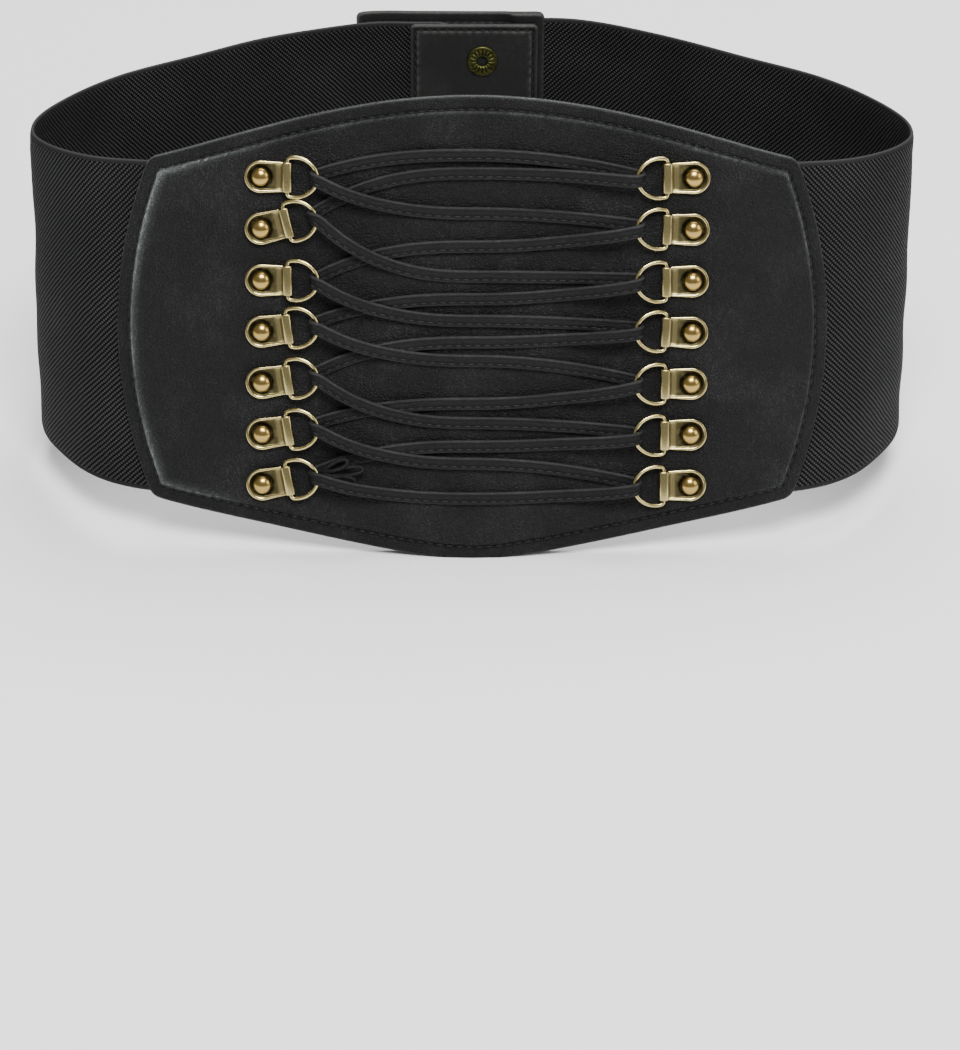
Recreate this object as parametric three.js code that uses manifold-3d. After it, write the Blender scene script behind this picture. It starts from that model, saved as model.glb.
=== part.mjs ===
// A laced corset belt: a leather front panel with seven rows of D-ring hooks and a criss-cross lace, two wide
// elastic bands, and a leather closure with snap fasteners at the centre back. Millimetres, +Z up.
//
// The belt is one closed wall. Every soft piece is laid out on that wall by three numbers: the way along the
// loop from the centre front (positive towards +X), the height above the elastic's lower edge, and the offset
// from the elastic's middle layer, positive outwards.
import * as THREE from 'three';
import { mergeVertices } from 'three/addons/utils/BufferGeometryUtils.js';
import Module from 'manifold-3d';

const wasm = await Module();
wasm.setup();

// Driving dimensions: the loop
const bandHeight = 102;
const bandThickness = 1.6;
const loopHalfWidth = 139;
const loopDepth = 138;
const frontLean = 25;
const clearance = 0.3;

// Driving dimensions: the front panel
const panelCornerHalfWidth = 100.5;
const panelSideBulge = 10.6;
const panelCornerRise = 1.2;
const panelPeakRise = 20.8;
const panelPeakDrop = 19.4;
const seamOverlap = 12;
const faceLeather = 1.2;
const liningLeather = 1.0;

// Driving dimensions: the closure patches
const patchLeather = 1.2;
const closureShift = -6.2;
const outerPatchWidth = 63;
const outerPatchRise = 2;
const outerPatchCorner = 2;
const innerPatchWidth = 43;
const innerPatchDrop = 0.5;
const innerPatchCorner = 1.8;
const innerPatchShift = 7.5;
const patchSeam = 10;
const closureBlend = 56;

// Driving dimensions: the lacing hooks
const hookPitch = 15.7;
const hookOffset = 67;
const hookShift = 1.3;
const plateHeight = 10.2;
const plateReach = 6.7;
const plateThickness = 0.8;
const rimWidth = 1.1;
const rimHeight = 0.6;
const knuckleLength = 9.2;
const knuckleWall = 0.65;
const ringWireRadius = 0.6;
const ringHalfHeight = 6.2;
const ringReach = 9.5;
const rivetHeadRadius = 2.9;
const rivetHeadHeight = 2.1;
const rivetShankRadius = 1.5;
const rivetFlangeRadius = 3.7;
const rivetFlangeHeight = 0.9;
const rivetBoreRadius = 1.1;

// Driving dimensions: the snap fasteners
const capRadius = 6.3;
const capHeight = 2.2;
const capPostRadius = 1.5;
const socketRadius = 4.7;
const studKnobRadius = 1.9;
const studBaseRadius = 3.6;
const studPostWall = 0.65;
const eyeletRadius = 5.2;
const eyeletHeight = 1.1;
const eyeletBoreRadius = 1.5;
const snapColumnSpacing = 27;
const snapRowSpacing = 36;
const snapRowShift = 2;
const snapColumnShift = -3.2;

// Driving dimensions: the lace
const laceWidth = 4;
const laceThickness = 1.5;
const laceTurnRadius = 2.2;
const laceLiftLength = 30;

// Flats cut where the belt stands on the floor
const frontRestFlat = 0.8;
const backRestFlat = 0.5;

// The loop's plan at the upper edge, for one side: across is a share of loopHalfWidth, depth a share of
// loopDepth from the front, and lean the share of frontLean by which the lower edge stands further forward
const loopStations = [
  { place: 'centre front', across: 0, depth: 0, lean: 1 },
  { place: 'under the hooks', across: 0.4, depth: 0.006, lean: 1 },
  { place: 'panel edge', across: 0.727, depth: 0.022, lean: 0.95 },
  { place: 'front corner start', across: 0.853, depth: 0.05, lean: 0.72 },
  { place: 'front corner', across: 0.946, depth: 0.115, lean: 0.32 },
  { place: 'front corner end', across: 0.995, depth: 0.195, lean: 0.06 },
  { place: 'side', across: 0.995, depth: 0.295, lean: 0 },
  { place: 'rear corner', across: 0.937, depth: 0.435, lean: 0 },
  { place: 'rear corner end', across: 0.826, depth: 0.59, lean: 0 },
  { place: 'flank', across: 0.655, depth: 0.735, lean: 0 },
  { place: 'shoulder', across: 0.45, depth: 0.9, lean: 0 },
  { place: 'closure end', across: 0.25, depth: 0.996, lean: 0 },
  { place: 'closure', across: 0.12, depth: 1, lean: 0 },
  { place: 'centre back', across: 0, depth: 1, lean: 0 },
];

// How far each hook's ring end is turned up, in degrees, from the top row down
const hookRows = [
  { left: 0, right: 0 },
  { left: 14, right: 2 },
  { left: 1, right: 0 },
  { left: 8, right: 3 },
  { left: 9, right: 1 },
  { left: 9, right: 0 },
  { left: 11, right: 0 },
];

// The height of each run of lace at the centre front, as a share of hookPitch below the row that it leaves by
// the front: the run from the left hook and the run from the right hook
const laceRows = [
  { fromLeft: 0.67, fromRight: -0.1 },
  { fromLeft: 0.89, fromRight: 0.31 },
  { fromLeft: 0.75, fromRight: 0.33 },
  { fromLeft: 0.53, fromRight: 0.17 },
  { fromLeft: 0.75, fromRight: 0.37 },
  { fromLeft: 0.55, fromRight: 0.21 },
];
const topRunRise = 0.45;
const bottomRunDrop = 0.24;

// Facet counts
const panelColumns = 12;
const panelRows = 6;
const bandColumns = 22;
const seamColumns = 2;
const bandRows = 2;
const ringSegments = 12;
const ringSides = 5;
const roundSides = 10;
const smallSides = 8;
const boreSides = 6;
const laceRunSteps = 8;
const laceTurnSteps = 4;

// Levels across the wall, worked out from the layers
const faceSeamLevel = bandThickness / 2 + clearance;
const faceLevel = faceSeamLevel + faceLeather;
const liningLevel = faceSeamLevel + liningLeather;
const lipThickness = 2 * patchLeather + bandThickness + 2 * clearance;
const patchThickness = 2 * patchLeather + clearance;
const hookRowCount = hookRows.length;
const hookMiddle = bandHeight / 2;
const laceLow = faceLevel + clearance + laceThickness / 2;
const ringArcLevel = laceLow + laceTurnRadius;
const laceHigh = ringArcLevel + laceTurnRadius;
const studPostRadius = eyeletBoreRadius + studPostWall;

// Materials
const leather = new THREE.MeshStandardMaterial({ color: 0x1c1c1f, roughness: 0.55, metalness: 0 });
const liningFilm = new THREE.MeshStandardMaterial({ color: 0x141416, roughness: 0.3, metalness: 0 });
const webbing = new THREE.MeshStandardMaterial({ color: 0x121214, roughness: 0.85, metalness: 0 });
const laceLeather = new THREE.MeshStandardMaterial({ color: 0x202023, roughness: 0.5, metalness: 0 });
const brass = new THREE.MeshStandardMaterial({ color: 0xa58a55, roughness: 0.35, metalness: 1 });
const darkBrass = new THREE.MeshStandardMaterial({ color: 0x4a4030, roughness: 0.45, metalness: 1 });

/** The loop's edge as a closed curve, with lean 0 at the upper edge and 1 at the lower one. */
function loopEdge(leanShare) {
  const point = (row, side) => new THREE.Vector3(
    side * row.across * loopHalfWidth,
    row.depth * loopDepth - leanShare * row.lean * frontLean,
    0,
  );
  const right = loopStations.map((row) => point(row, 1));
  const left = loopStations.slice(1, -1).reverse().map((row) => point(row, -1));
  const edge = new THREE.CatmullRomCurve3([...right, ...left], true, 'centripetal');
  edge.arcLengthDivisions = 1600;
  return edge;
}

const upperEdge = loopEdge(0);
const lowerEdge = loopEdge(1);
const middleLine = loopEdge(0.5);
const loopLength = middleLine.getLength();

/** A point of the wall's middle layer. */
function wallPoint(along, height) {
  const share = (((along / loopLength) % 1) + 1) % 1;
  const t = middleLine.getUtoTmapping(share);
  const lower = lowerEdge.getPoint(t);
  const upper = upperEdge.getPoint(t);
  const point = lower.lerp(upper, height / bandHeight);
  point.z = height;
  return point;
}

/** The wall's own directions at a point: along the loop, up the wall and outwards. */
function wallAxes(along, height) {
  const step = 0.5;
  const forward = wallPoint(along + step, height).sub(wallPoint(along - step, height)).normalize();
  const up = wallPoint(along, height + step).sub(wallPoint(along, height - step)).normalize();
  const out = new THREE.Vector3().crossVectors(forward, up).normalize();
  return { forward, up: new THREE.Vector3().crossVectors(out, forward), out };
}

/** A point at an offset from the wall's middle layer. */
function layerPoint(along, height, offset) {
  return wallPoint(along, height).addScaledVector(wallAxes(along, height).out, offset);
}

/** The matrix that stands a flat-lying piece on the wall, its own X along the loop and its Z outwards. */
function wallFrame(along, height, offset, turn = 0) {
  const { forward, up, out } = wallAxes(along, height);
  return new THREE.Matrix4()
    .makeBasis(forward, up, out)
    .setPosition(layerPoint(along, height, offset))
    .multiply(new THREE.Matrix4().makeRotationZ(turn));
}

/** The way along the loop of a place at the back, from the centre back and positive towards +X. */
const alongBack = (across) => loopLength / 2 - across;

/** Evenly spaced values from one to another, both included. */
const spaced = (from, to, steps) => (
  Array.from({ length: steps + 1 }, (_, i) => from + ((to - from) * i) / steps)
);

/** A smooth step from 0 to 1 as x goes from 0 to 1. */
const ease = (x) => THREE.MathUtils.smootherstep(x, 0, 1);

/** An indexed geometry, turned inside out first if its volume comes out negative. */
function closedGeometry(points, triangles) {
  let volume = 0;
  for (const [a, b, c] of triangles) {
    volume += points[a].dot(new THREE.Vector3().crossVectors(points[b], points[c]));
  }
  const faces = volume < 0 ? triangles.map(([a, b, c]) => [a, c, b]) : triangles;
  const geometry = new THREE.BufferGeometry();
  const positions = points.flatMap((p) => [p.x, p.y, p.z]);
  geometry.setAttribute('position', new THREE.Float32BufferAttribute(positions, 3));
  geometry.setIndex(faces.flat());
  return geometry;
}

/**
 * A closed wall over a grid of columns and rows. place gives each grid point's way along the loop and height,
 * and inner and outer give the two layers' offsets there.
 */
function wallSlab(columns, rows, place, inner, outer) {
  const points = [];
  const index = (layer, i, j) => (layer * columns.length + i) * rows.length + j;
  for (const offset of [inner, outer]) {
    for (const column of columns) {
      for (const row of rows) {
        const [along, height] = place(column, row);
        points.push(layerPoint(along, height, offset(column, row)));
      }
    }
  }
  const triangles = [];
  const quad = (a, b, c, d) => triangles.push([a, b, c], [a, c, d]);
  const lastColumn = columns.length - 1;
  const lastRow = rows.length - 1;
  for (let i = 0; i < lastColumn; i += 1) {
    for (let j = 0; j < lastRow; j += 1) {
      quad(index(1, i, j), index(1, i + 1, j), index(1, i + 1, j + 1), index(1, i, j + 1));
      quad(index(0, i, j), index(0, i, j + 1), index(0, i + 1, j + 1), index(0, i + 1, j));
    }
    quad(index(0, i, 0), index(0, i + 1, 0), index(1, i + 1, 0), index(1, i, 0));
    quad(index(0, i, lastRow), index(1, i, lastRow), index(1, i + 1, lastRow), index(0, i + 1, lastRow));
  }
  const end = lastColumn;
  for (let j = 0; j < lastRow; j += 1) {
    quad(index(0, 0, j), index(1, 0, j), index(1, 0, j + 1), index(0, 0, j + 1));
    quad(index(0, end, j), index(0, end, j + 1), index(1, end, j + 1), index(1, end, j));
  }
  return closedGeometry(points, triangles);
}

/** A closed band carried round a closed path: each stop has a point, a width direction and a section. */
function closedSweep(stops, section) {
  const sides = section.length;
  const points = [];
  stops.forEach((stop, i) => {
    const before = stops[(i + stops.length - 1) % stops.length].point;
    const after = stops[(i + 1) % stops.length].point;
    const tangent = after.clone().sub(before).normalize();
    const across = stop.width.clone().addScaledVector(tangent, -stop.width.dot(tangent)).normalize();
    const normal = new THREE.Vector3().crossVectors(tangent, across);
    for (const [x, y] of section) {
      points.push(stop.point.clone().addScaledVector(across, x).addScaledVector(normal, y));
    }
  });
  const triangles = [];
  for (let i = 0; i < stops.length; i += 1) {
    const next = (i + 1) % stops.length;
    for (let k = 0; k < sides; k += 1) {
      const other = (k + 1) % sides;
      triangles.push([i * sides + k, next * sides + k, next * sides + other]);
      triangles.push([i * sides + k, next * sides + other, i * sides + other]);
    }
  }
  return closedGeometry(points, triangles);
}

/** A three.js geometry as a solid that can be joined and cut. */
function toSolid(geometry) {
  const bare = new THREE.BufferGeometry();
  bare.setAttribute('position', geometry.getAttribute('position').clone());
  if (geometry.index) bare.setIndex(geometry.index.clone());
  const merged = mergeVertices(bare, 1e-4);
  const vertProperties = new Float32Array(merged.getAttribute('position').array);
  const triVerts = new Uint32Array(merged.index.array);
  return new wasm.Manifold(new wasm.Mesh({ numProp: 3, vertProperties, triVerts }));
}

/** A solid as a three.js geometry again. */
function toGeometry(solid) {
  const mesh = solid.getMesh();
  const geometry = new THREE.BufferGeometry();
  geometry.setAttribute('position', new THREE.Float32BufferAttribute(mesh.vertProperties, mesh.numProp));
  geometry.setIndex(Array.from(mesh.triVerts));
  return geometry;
}

/** A body less a list of tools. */
function cut(body, tools) {
  return toGeometry(tools.reduce((solid, tool) => solid.subtract(toSolid(tool)), toSolid(body)));
}

/** Several bodies joined into one. */
function join(bodies) {
  return toGeometry(bodies.map(toSolid).reduce((solid, other) => solid.add(other)));
}

/** A turned piece about Z from [radius, height] pairs that run down from the axis and back to it. */
function turned(profile, sides) {
  const upwards = profile.map(([radius, height]) => new THREE.Vector2(radius, height)).reverse();
  return new THREE.LatheGeometry(upwards, sides).rotateX(Math.PI / 2);
}

/** A straight pin along Z between two heights. */
function pin(radius, low, high, sides) {
  return new THREE.CylinderGeometry(radius, radius, high - low, sides)
    .rotateX(Math.PI / 2)
    .translate(0, 0, (low + high) / 2);
}

/** The corner radius of a bore whose flats clear what goes through it. */
const boreRadius = (radius) => (radius + clearance) / Math.cos(Math.PI / boreSides);

/** A cutting pin through the wall at a place, for what has the given radius. */
function wallHole(along, height, radius) {
  const reach = 2 * lipThickness;
  return pin(boreRadius(radius), -reach, reach, boreSides).applyMatrix4(wallFrame(along, height, 0));
}

// The front panel's outline, in shares from -1 to 1 across and up: the sides bow outwards, and the upper and
// lower edges rise from the corners to a rounded peak at the centre
const panelMiddle = bandHeight / 2;
const panelHalfWidth = (up) => panelCornerHalfWidth + panelSideBulge * (1 - up * up);
const lowerRound = 0.14;
const bend = (across) => Math.hypot(across, lowerRound) - lowerRound;
const upperPeak = (across) => Math.cos((Math.PI / 2) * Math.abs(across)) ** 1.1;
const lowerPeak = (across) => 1 - bend(across) / bend(1);

/** The panel's height from its middle to its upper edge, or to its lower one where up is negative. */
function panelReach(across, up) {
  const peak = up < 0 ? panelPeakDrop : panelPeakRise;
  const shape = up < 0 ? lowerPeak : upperPeak;
  return panelMiddle + panelCornerRise + (peak - panelCornerRise) * shape(across);
}

/** The place of a panel grid point, from its two shares. */
const panelPlace = (across, up) => [across * panelHalfWidth(up), panelMiddle + up * panelReach(across, up)];

// The elastic's front end follows the panel's bowed side
const seamShare = 1 - seamOverlap / panelCornerHalfWidth;
const bandEndAlong = (height, share) => {
  const up = (height - panelMiddle) / panelReach(share, height - panelMiddle);
  return share * panelHalfWidth(up);
};

/** How far the elastic has moved off the middle layer towards its patch, from 0 to 1. */
const closureShare = (along) => {
  const fromBack = loopLength / 2 - Math.abs(along);
  const patchEdge = outerPatchWidth / 2 + Math.sign(along) * closureShift;
  return 1 - ease((fromBack - patchEdge) / closureBlend);
};

/** The elastic's middle offset at a way along the loop: the right band joins the outer patch. */
const bandOffset = (along) => Math.sign(along) * closureShare(along) * (lipThickness / 2);

const innerPatchMiddle = closureShift + innerPatchShift;
const innerPatchLow = innerPatchMiddle - innerPatchWidth / 2;
const bandBackEnd = {
  right: loopLength / 2 - (closureShift + outerPatchWidth / 2 - patchSeam),
  left: loopLength / 2 + (innerPatchLow + patchSeam),
};

/** One elastic band as a grid: the seam's columns follow the panel, the others run on to the closure. */
function bandGrid(side, name) {
  const sign = side;
  const place = (column, height) => {
    const front = bandEndAlong(height, Math.min(1, seamShare + column * (1 - seamShare)));
    if (column <= 1) return [sign * front, height];
    const start = bandEndAlong(height, 1);
    return [sign * (start + (bandBackEnd[name] - start) * (column - 1)), height];
  };
  const columns = [...spaced(0, 1, seamColumns), ...spaced(1, 2, bandColumns).slice(1)];
  return { place, columns };
}

/** One elastic band. */
function elasticBand(side, name) {
  const { place, columns } = bandGrid(side, name);
  const offset = (column, height) => bandOffset(place(column, height)[0]);
  return wallSlab(
    columns,
    spaced(0, bandHeight, bandRows),
    place,
    (column, height) => offset(column, height) - bandThickness / 2,
    (column, height) => offset(column, height) + bandThickness / 2,
  );
}

/** The pocket that the elastic's front end leaves between the panel's face and lining. */
function seamPocket(side, name) {
  const { place } = bandGrid(side, name);
  const beyond = [1 + 1 / bandColumns, 1 + 2 / bandColumns];
  const columns = [-clearance / seamOverlap, ...spaced(0, 1, seamColumns).slice(1), ...beyond];
  const rows = [-clearance, ...spaced(0, bandHeight, bandRows).slice(1, -1), bandHeight + clearance];
  const half = bandThickness / 2 + clearance;
  return wallSlab(columns, rows, place, () => -half, () => half);
}

const hookHeight = (row) => hookMiddle + hookPitch * ((hookRowCount - 1) / 2 - row);
const hookSides = [
  { name: 'left', sign: -1 },
  { name: 'right', sign: 1 },
];
const hookPlaces = hookRows.flatMap((turns, row) => hookSides.map(({ name, sign }) => ({
  name: `${name}_${row + 1}`,
  along: hookShift + sign * hookOffset,
  height: hookHeight(row),
  sign,
  turn: THREE.MathUtils.degToRad(turns[name]),
})));

/** The matrix of a hook: its own X points from the rivet to the ring, which lies towards the centre front. */
function hookFrame({ along, height, sign, turn }, offset) {
  const facing = sign < 0 ? turn : Math.PI - turn;
  return wallFrame(along, height, offset, facing);
}

const rivetHoles = hookPlaces.map(({ along, height }) => wallHole(along, height, rivetShankRadius));
const seamPockets = [seamPocket(1, 'right'), seamPocket(-1, 'left')];

/** One layer of the front panel between two offsets. */
function panelLayer(inner, outer) {
  const seam = spaced(seamShare, 1, seamColumns);
  const between = spaced(-seamShare, seamShare, panelColumns).slice(1, -1);
  const slab = wallSlab(
    [...seam.map((share) => -share).reverse(), ...between, ...seam],
    spaced(-1, 1, panelRows),
    panelPlace,
    () => inner,
    () => outer,
  );
  return cut(slab, [...seamPockets, ...rivetHoles]);
}

/** The half height of a patch with rounded corners, at a place across from its middle. */
function patchHalfHeight(across, halfWidth, halfHeight, corner) {
  const into = Math.max(0, Math.abs(across) - (halfWidth - corner));
  return halfHeight - corner + Math.sqrt(Math.max(0, corner * corner - into * into));
}

/** The columns of a patch: close together at its rounded corners, with a pair where its lip starts. */
function patchColumns(halfWidth, corner, lipStart) {
  const round = [0, 0.4, 0.75, 1].map((share) => halfWidth - corner * (1 - Math.sin((share * Math.PI) / 2)));
  const lip = [lipStart - clearance, lipStart + clearance];
  const flat = spaced(-halfWidth, halfWidth, 6).slice(1, -1);
  return [...round.map((x) => -x), ...lip, ...flat, ...round].sort((a, b) => a - b);
}

const snapColumns = [-1, 1].map((side) => closureShift + snapColumnShift + (side * snapColumnSpacing) / 2);
const snapRows = [1, 0, -1].map((row) => bandHeight / 2 + snapRowShift + row * snapRowSpacing);
const snapPlaces = snapRows.flatMap((height, row) => snapColumns.map((across, column) => ({
  name: `${column === 0 ? 'left' : 'right'}_${row + 1}`,
  across,
  height,
})));
const studPlaces = snapPlaces.filter(({ across }) => across > innerPatchLow);

/** The outer closure patch: two layers of leather that open into a lip round the right band's end. */
function outerPatch() {
  const halfWidth = outerPatchWidth / 2;
  const halfHeight = bandHeight / 2 + outerPatchRise;
  const lipStart = halfWidth - patchSeam - 2 * clearance - patchLeather;
  const slab = wallSlab(
    patchColumns(halfWidth, outerPatchCorner, lipStart),
    spaced(-1, 1, 2),
    (x, up) => [
      alongBack(closureShift + x),
      bandHeight / 2 + up * patchHalfHeight(x, halfWidth, halfHeight, outerPatchCorner),
    ],
    (x) => (x > lipStart ? 0 : lipThickness - patchThickness),
    () => lipThickness,
  );
  const notch = wallSlab(
    [halfWidth - patchSeam - clearance, halfWidth - patchSeam / 2, halfWidth, halfWidth + patchSeam / 2],
    [-clearance, bandHeight + clearance],
    (x, height) => [alongBack(closureShift + x), height],
    () => patchLeather,
    () => lipThickness - patchLeather,
  );
  const holes = snapPlaces.map(({ across, height }) => wallHole(alongBack(across), height, capPostRadius));
  return cut(slab, [notch, ...holes]);
}

/** The inner closure patch, with its lip round the left band's end. */
function innerPatch() {
  const halfWidth = innerPatchWidth / 2;
  const halfHeight = bandHeight / 2 - innerPatchDrop;
  const lipStart = -halfWidth + patchSeam + 2 * clearance + patchLeather;
  const slab = wallSlab(
    patchColumns(halfWidth, innerPatchCorner, lipStart),
    spaced(-1, 1, 2),
    (x, up) => [
      alongBack(innerPatchMiddle + x),
      bandHeight / 2 + up * patchHalfHeight(x, halfWidth, halfHeight, innerPatchCorner),
    ],
    () => -lipThickness,
    (x) => (x < lipStart ? 0 : patchThickness - lipThickness),
  );
  const notch = wallSlab(
    [-halfWidth - patchSeam / 2, -halfWidth, -halfWidth + patchSeam / 2, -halfWidth + patchSeam + clearance],
    [-2 * clearance, bandHeight + 2 * clearance],
    (x, height) => [alongBack(innerPatchMiddle + x), height],
    () => patchLeather - lipThickness,
    () => -patchLeather,
  );
  const holes = studPlaces.map(({ across, height }) => wallHole(alongBack(across), height, studPostRadius));
  return cut(slab, [notch, ...holes]);
}

// The hook's own sizes along its X, from the rivet's centre
const knuckleBore = ringWireRadius + clearance;
const knuckleRadius = knuckleBore + knuckleWall;
const barPlace = plateReach + knuckleRadius;
const barLevel = knuckleRadius;
const ringTip = barPlace + ringReach;
const ringPitch = Math.asin((ringArcLevel - faceLevel - clearance - barLevel) / ringReach);

/** A plate's outline: a half round about the rivet, and a straight end at a reach along X. */
function plateOutline(radius, reach, endHalf) {
  const shape = new THREE.Shape();
  shape.moveTo(reach, -endHalf);
  shape.lineTo(reach, endHalf);
  shape.absarc(0, 0, radius, Math.PI / 2, (3 * Math.PI) / 2, false);
  return shape;
}

/** A hook's stamped plate: a raised rim round a sunk field, and the knuckle that holds the ring's bar. */
function hookPlate() {
  const flat = { bevelEnabled: false, curveSegments: 5 };
  const fieldRadius = plateHeight / 2 - rimWidth;
  const base = new THREE.ExtrudeGeometry(
    plateOutline(plateHeight / 2, barPlace, knuckleLength / 2),
    { ...flat, depth: plateThickness + rimHeight },
  );
  const field = new THREE.ExtrudeGeometry(
    plateOutline(fieldRadius, plateReach - rimWidth, fieldRadius),
    { ...flat, depth: 2 * rimHeight },
  ).translate(0, 0, plateThickness);
  const knuckle = new THREE.CylinderGeometry(knuckleRadius, knuckleRadius, knuckleLength, boreSides)
    .translate(barPlace, 0, barLevel);
  const bore = new THREE.CylinderGeometry(knuckleBore, knuckleBore, 2 * knuckleLength, boreSides)
    .translate(barPlace, 0, barLevel);
  const hole = pin(boreRadius(rivetShankRadius), -plateThickness, 3 * plateThickness, boreSides);
  return cut(join([base, knuckle]), [field, bore, hole]);
}

/** A D-ring of round wire: an elliptic bow closed by a straight bar, tipped up about the bar. */
function hookRing() {
  const bowHalf = 7;
  const bowCentre = ringReach - bowHalf;
  const end = Math.acos(-bowCentre / bowHalf);
  const stops = spaced(-end, end, ringSegments - 2).map((angle) => new THREE.Vector3(
    bowCentre + bowHalf * Math.cos(angle),
    ringHalfHeight * Math.sin(angle),
    0,
  ));
  stops.push(new THREE.Vector3(0, 0, 0));
  const width = new THREE.Vector3(0, 0, 1);
  const section = spaced(0, 2 * Math.PI, ringSides).slice(1).map((angle) => [
    ringWireRadius * Math.cos(angle),
    ringWireRadius * Math.sin(angle),
  ]);
  return closedSweep(stops.map((point) => ({ point, width })), section)
    .rotateY(-ringPitch)
    .translate(barPlace, 0, barLevel);
}

/** A hook's rivet: a domed head, a shank through both layers of the panel, and an eyelet flange inside. */
function hookRivet() {
  const headSeat = faceLevel + 2 * clearance + plateThickness;
  const flangeSeat = -liningLevel - clearance;
  const profile = [
    [0, headSeat + rivetHeadHeight],
    [rivetHeadRadius * 0.6, headSeat + rivetHeadHeight * 0.8],
    [rivetHeadRadius, headSeat],
    [rivetShankRadius, headSeat],
    [rivetShankRadius, flangeSeat],
    [rivetFlangeRadius, flangeSeat],
    [(rivetFlangeRadius + rivetBoreRadius) / 2, flangeSeat - rivetFlangeHeight],
    [rivetBoreRadius, flangeSeat - rivetFlangeHeight / 2],
    [0, flangeSeat + liningLeather / 2],
  ];
  return turned(profile, smallSides);
}

/** A snap's cap, with its post through the outer patch and the socket behind it. */
function snapCap() {
  const capSeat = lipThickness + clearance;
  const socketTop = lipThickness - patchThickness - clearance;
  const socketRoof = 2 * clearance;
  const profile = [
    [0, capSeat + capHeight],
    [capRadius * 0.7, capSeat + capHeight * 0.82],
    [capRadius, capSeat + capHeight * 0.3],
    [capRadius * 0.96, capSeat],
    [capPostRadius, capSeat],
    [capPostRadius, socketTop],
    [socketRadius, socketTop],
    [socketRadius, clearance],
    [studKnobRadius + clearance, clearance],
    [studKnobRadius + clearance, socketTop - socketRoof / 2],
    [0, socketTop - socketRoof / 2],
  ];
  return turned(profile, roundSides);
}

/** A snap's stud, which enters the socket, with its post through the inner patch and an eyelet inside. */
function snapStud() {
  const knobTop = lipThickness - patchThickness - 3 * clearance;
  const baseSeat = patchThickness - lipThickness + clearance;
  const eyeletSeat = -lipThickness - clearance;
  const profile = [
    [0, knobTop],
    [studKnobRadius, knobTop],
    [studKnobRadius, baseSeat + clearance],
    [studBaseRadius, baseSeat + clearance],
    [studBaseRadius, baseSeat],
    [studPostRadius, baseSeat],
    [studPostRadius, eyeletSeat],
    [eyeletRadius, eyeletSeat],
    [eyeletRadius * 0.8, eyeletSeat - eyeletHeight],
    [eyeletBoreRadius * 1.3, eyeletSeat - eyeletHeight * 0.7],
    [eyeletBoreRadius, eyeletSeat],
    [0, eyeletSeat + patchThickness / 2],
  ];
  return turned(profile, smallSides);
}

/** The place on the wall of a point of a hook, from its own X and Y. */
function onHook({ along, height, sign, turn }, x, y) {
  return [
    along - sign * (x * Math.cos(turn) - y * Math.sin(turn)),
    height + x * Math.sin(turn) + y * Math.cos(turn),
  ];
}

const hookAt = (side, row) => hookPlaces.find(({ name }) => name === `${side}_${row + 1}`);
const arriveUp = 0.9;
const leaveDown = 0.6;

/** One turn of the lace round a ring's bow, from behind it to its front. */
function laceTurn(side, row) {
  const hook = hookAt(side, row);
  return spaced(-Math.PI / 2, Math.PI / 2, laceTurnSteps).map((angle, i) => {
    const up = THREE.MathUtils.lerp(arriveUp, -leaveDown, i / laceTurnSteps);
    const [along, height] = onHook(hook, ringTip - laceTurnRadius * Math.cos(angle), up);
    const offset = ringArcLevel + laceTurnRadius * Math.sin(angle);
    const { forward, up: rise } = wallAxes(along, height);
    const tilt = -hook.sign * hook.turn;
    const width = rise.clone().multiplyScalar(Math.cos(tilt)).addScaledVector(forward, -Math.sin(tilt));
    return { point: layerPoint(along, height, offset), width };
  });
}

/**
 * One run of the lace from a left ring to a right one. It falls fast beside the left hooks and then lies
 * nearly level, and it comes down from a ring's front to the panel over laceLiftLength.
 */
function laceRun(left, right, middleHeight) {
  const leftFall = 2.6;
  const rightFall = 2;
  const margin = 2.2;
  const ringEnd = (side, { row, front }) => onHook(hookAt(side, row), ringTip, front ? -leaveDown : arriveUp);
  const [leftAlong, leftHeight] = ringEnd('left', left);
  const [rightAlong, rightHeight] = ringEnd('right', right);
  const from = leftAlong + margin;
  const to = rightAlong - margin;
  return spaced(0, 1, laceRunSteps).map((t) => {
    const share = 0.5 * (1 - Math.cos(Math.PI * t));
    const along = from + (to - from) * share;
    const fall = along < 0
      ? leftHeight + (middleHeight - leftHeight) * (1 - (along / leftAlong) ** leftFall)
      : rightHeight + (middleHeight - rightHeight) * (1 - (along / rightAlong) ** rightFall);
    const lift = (front, distance) => (front ? 1 - ease(Math.min(1, distance / laceLiftLength)) : 0);
    const raised = Math.max(lift(left.front, along - leftAlong), lift(right.front, rightAlong - along));
    const { up } = wallAxes(along, fall);
    return { point: layerPoint(along, fall, laceLow + (laceHigh - laceLow) * raised), width: up };
  });
}

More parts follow.
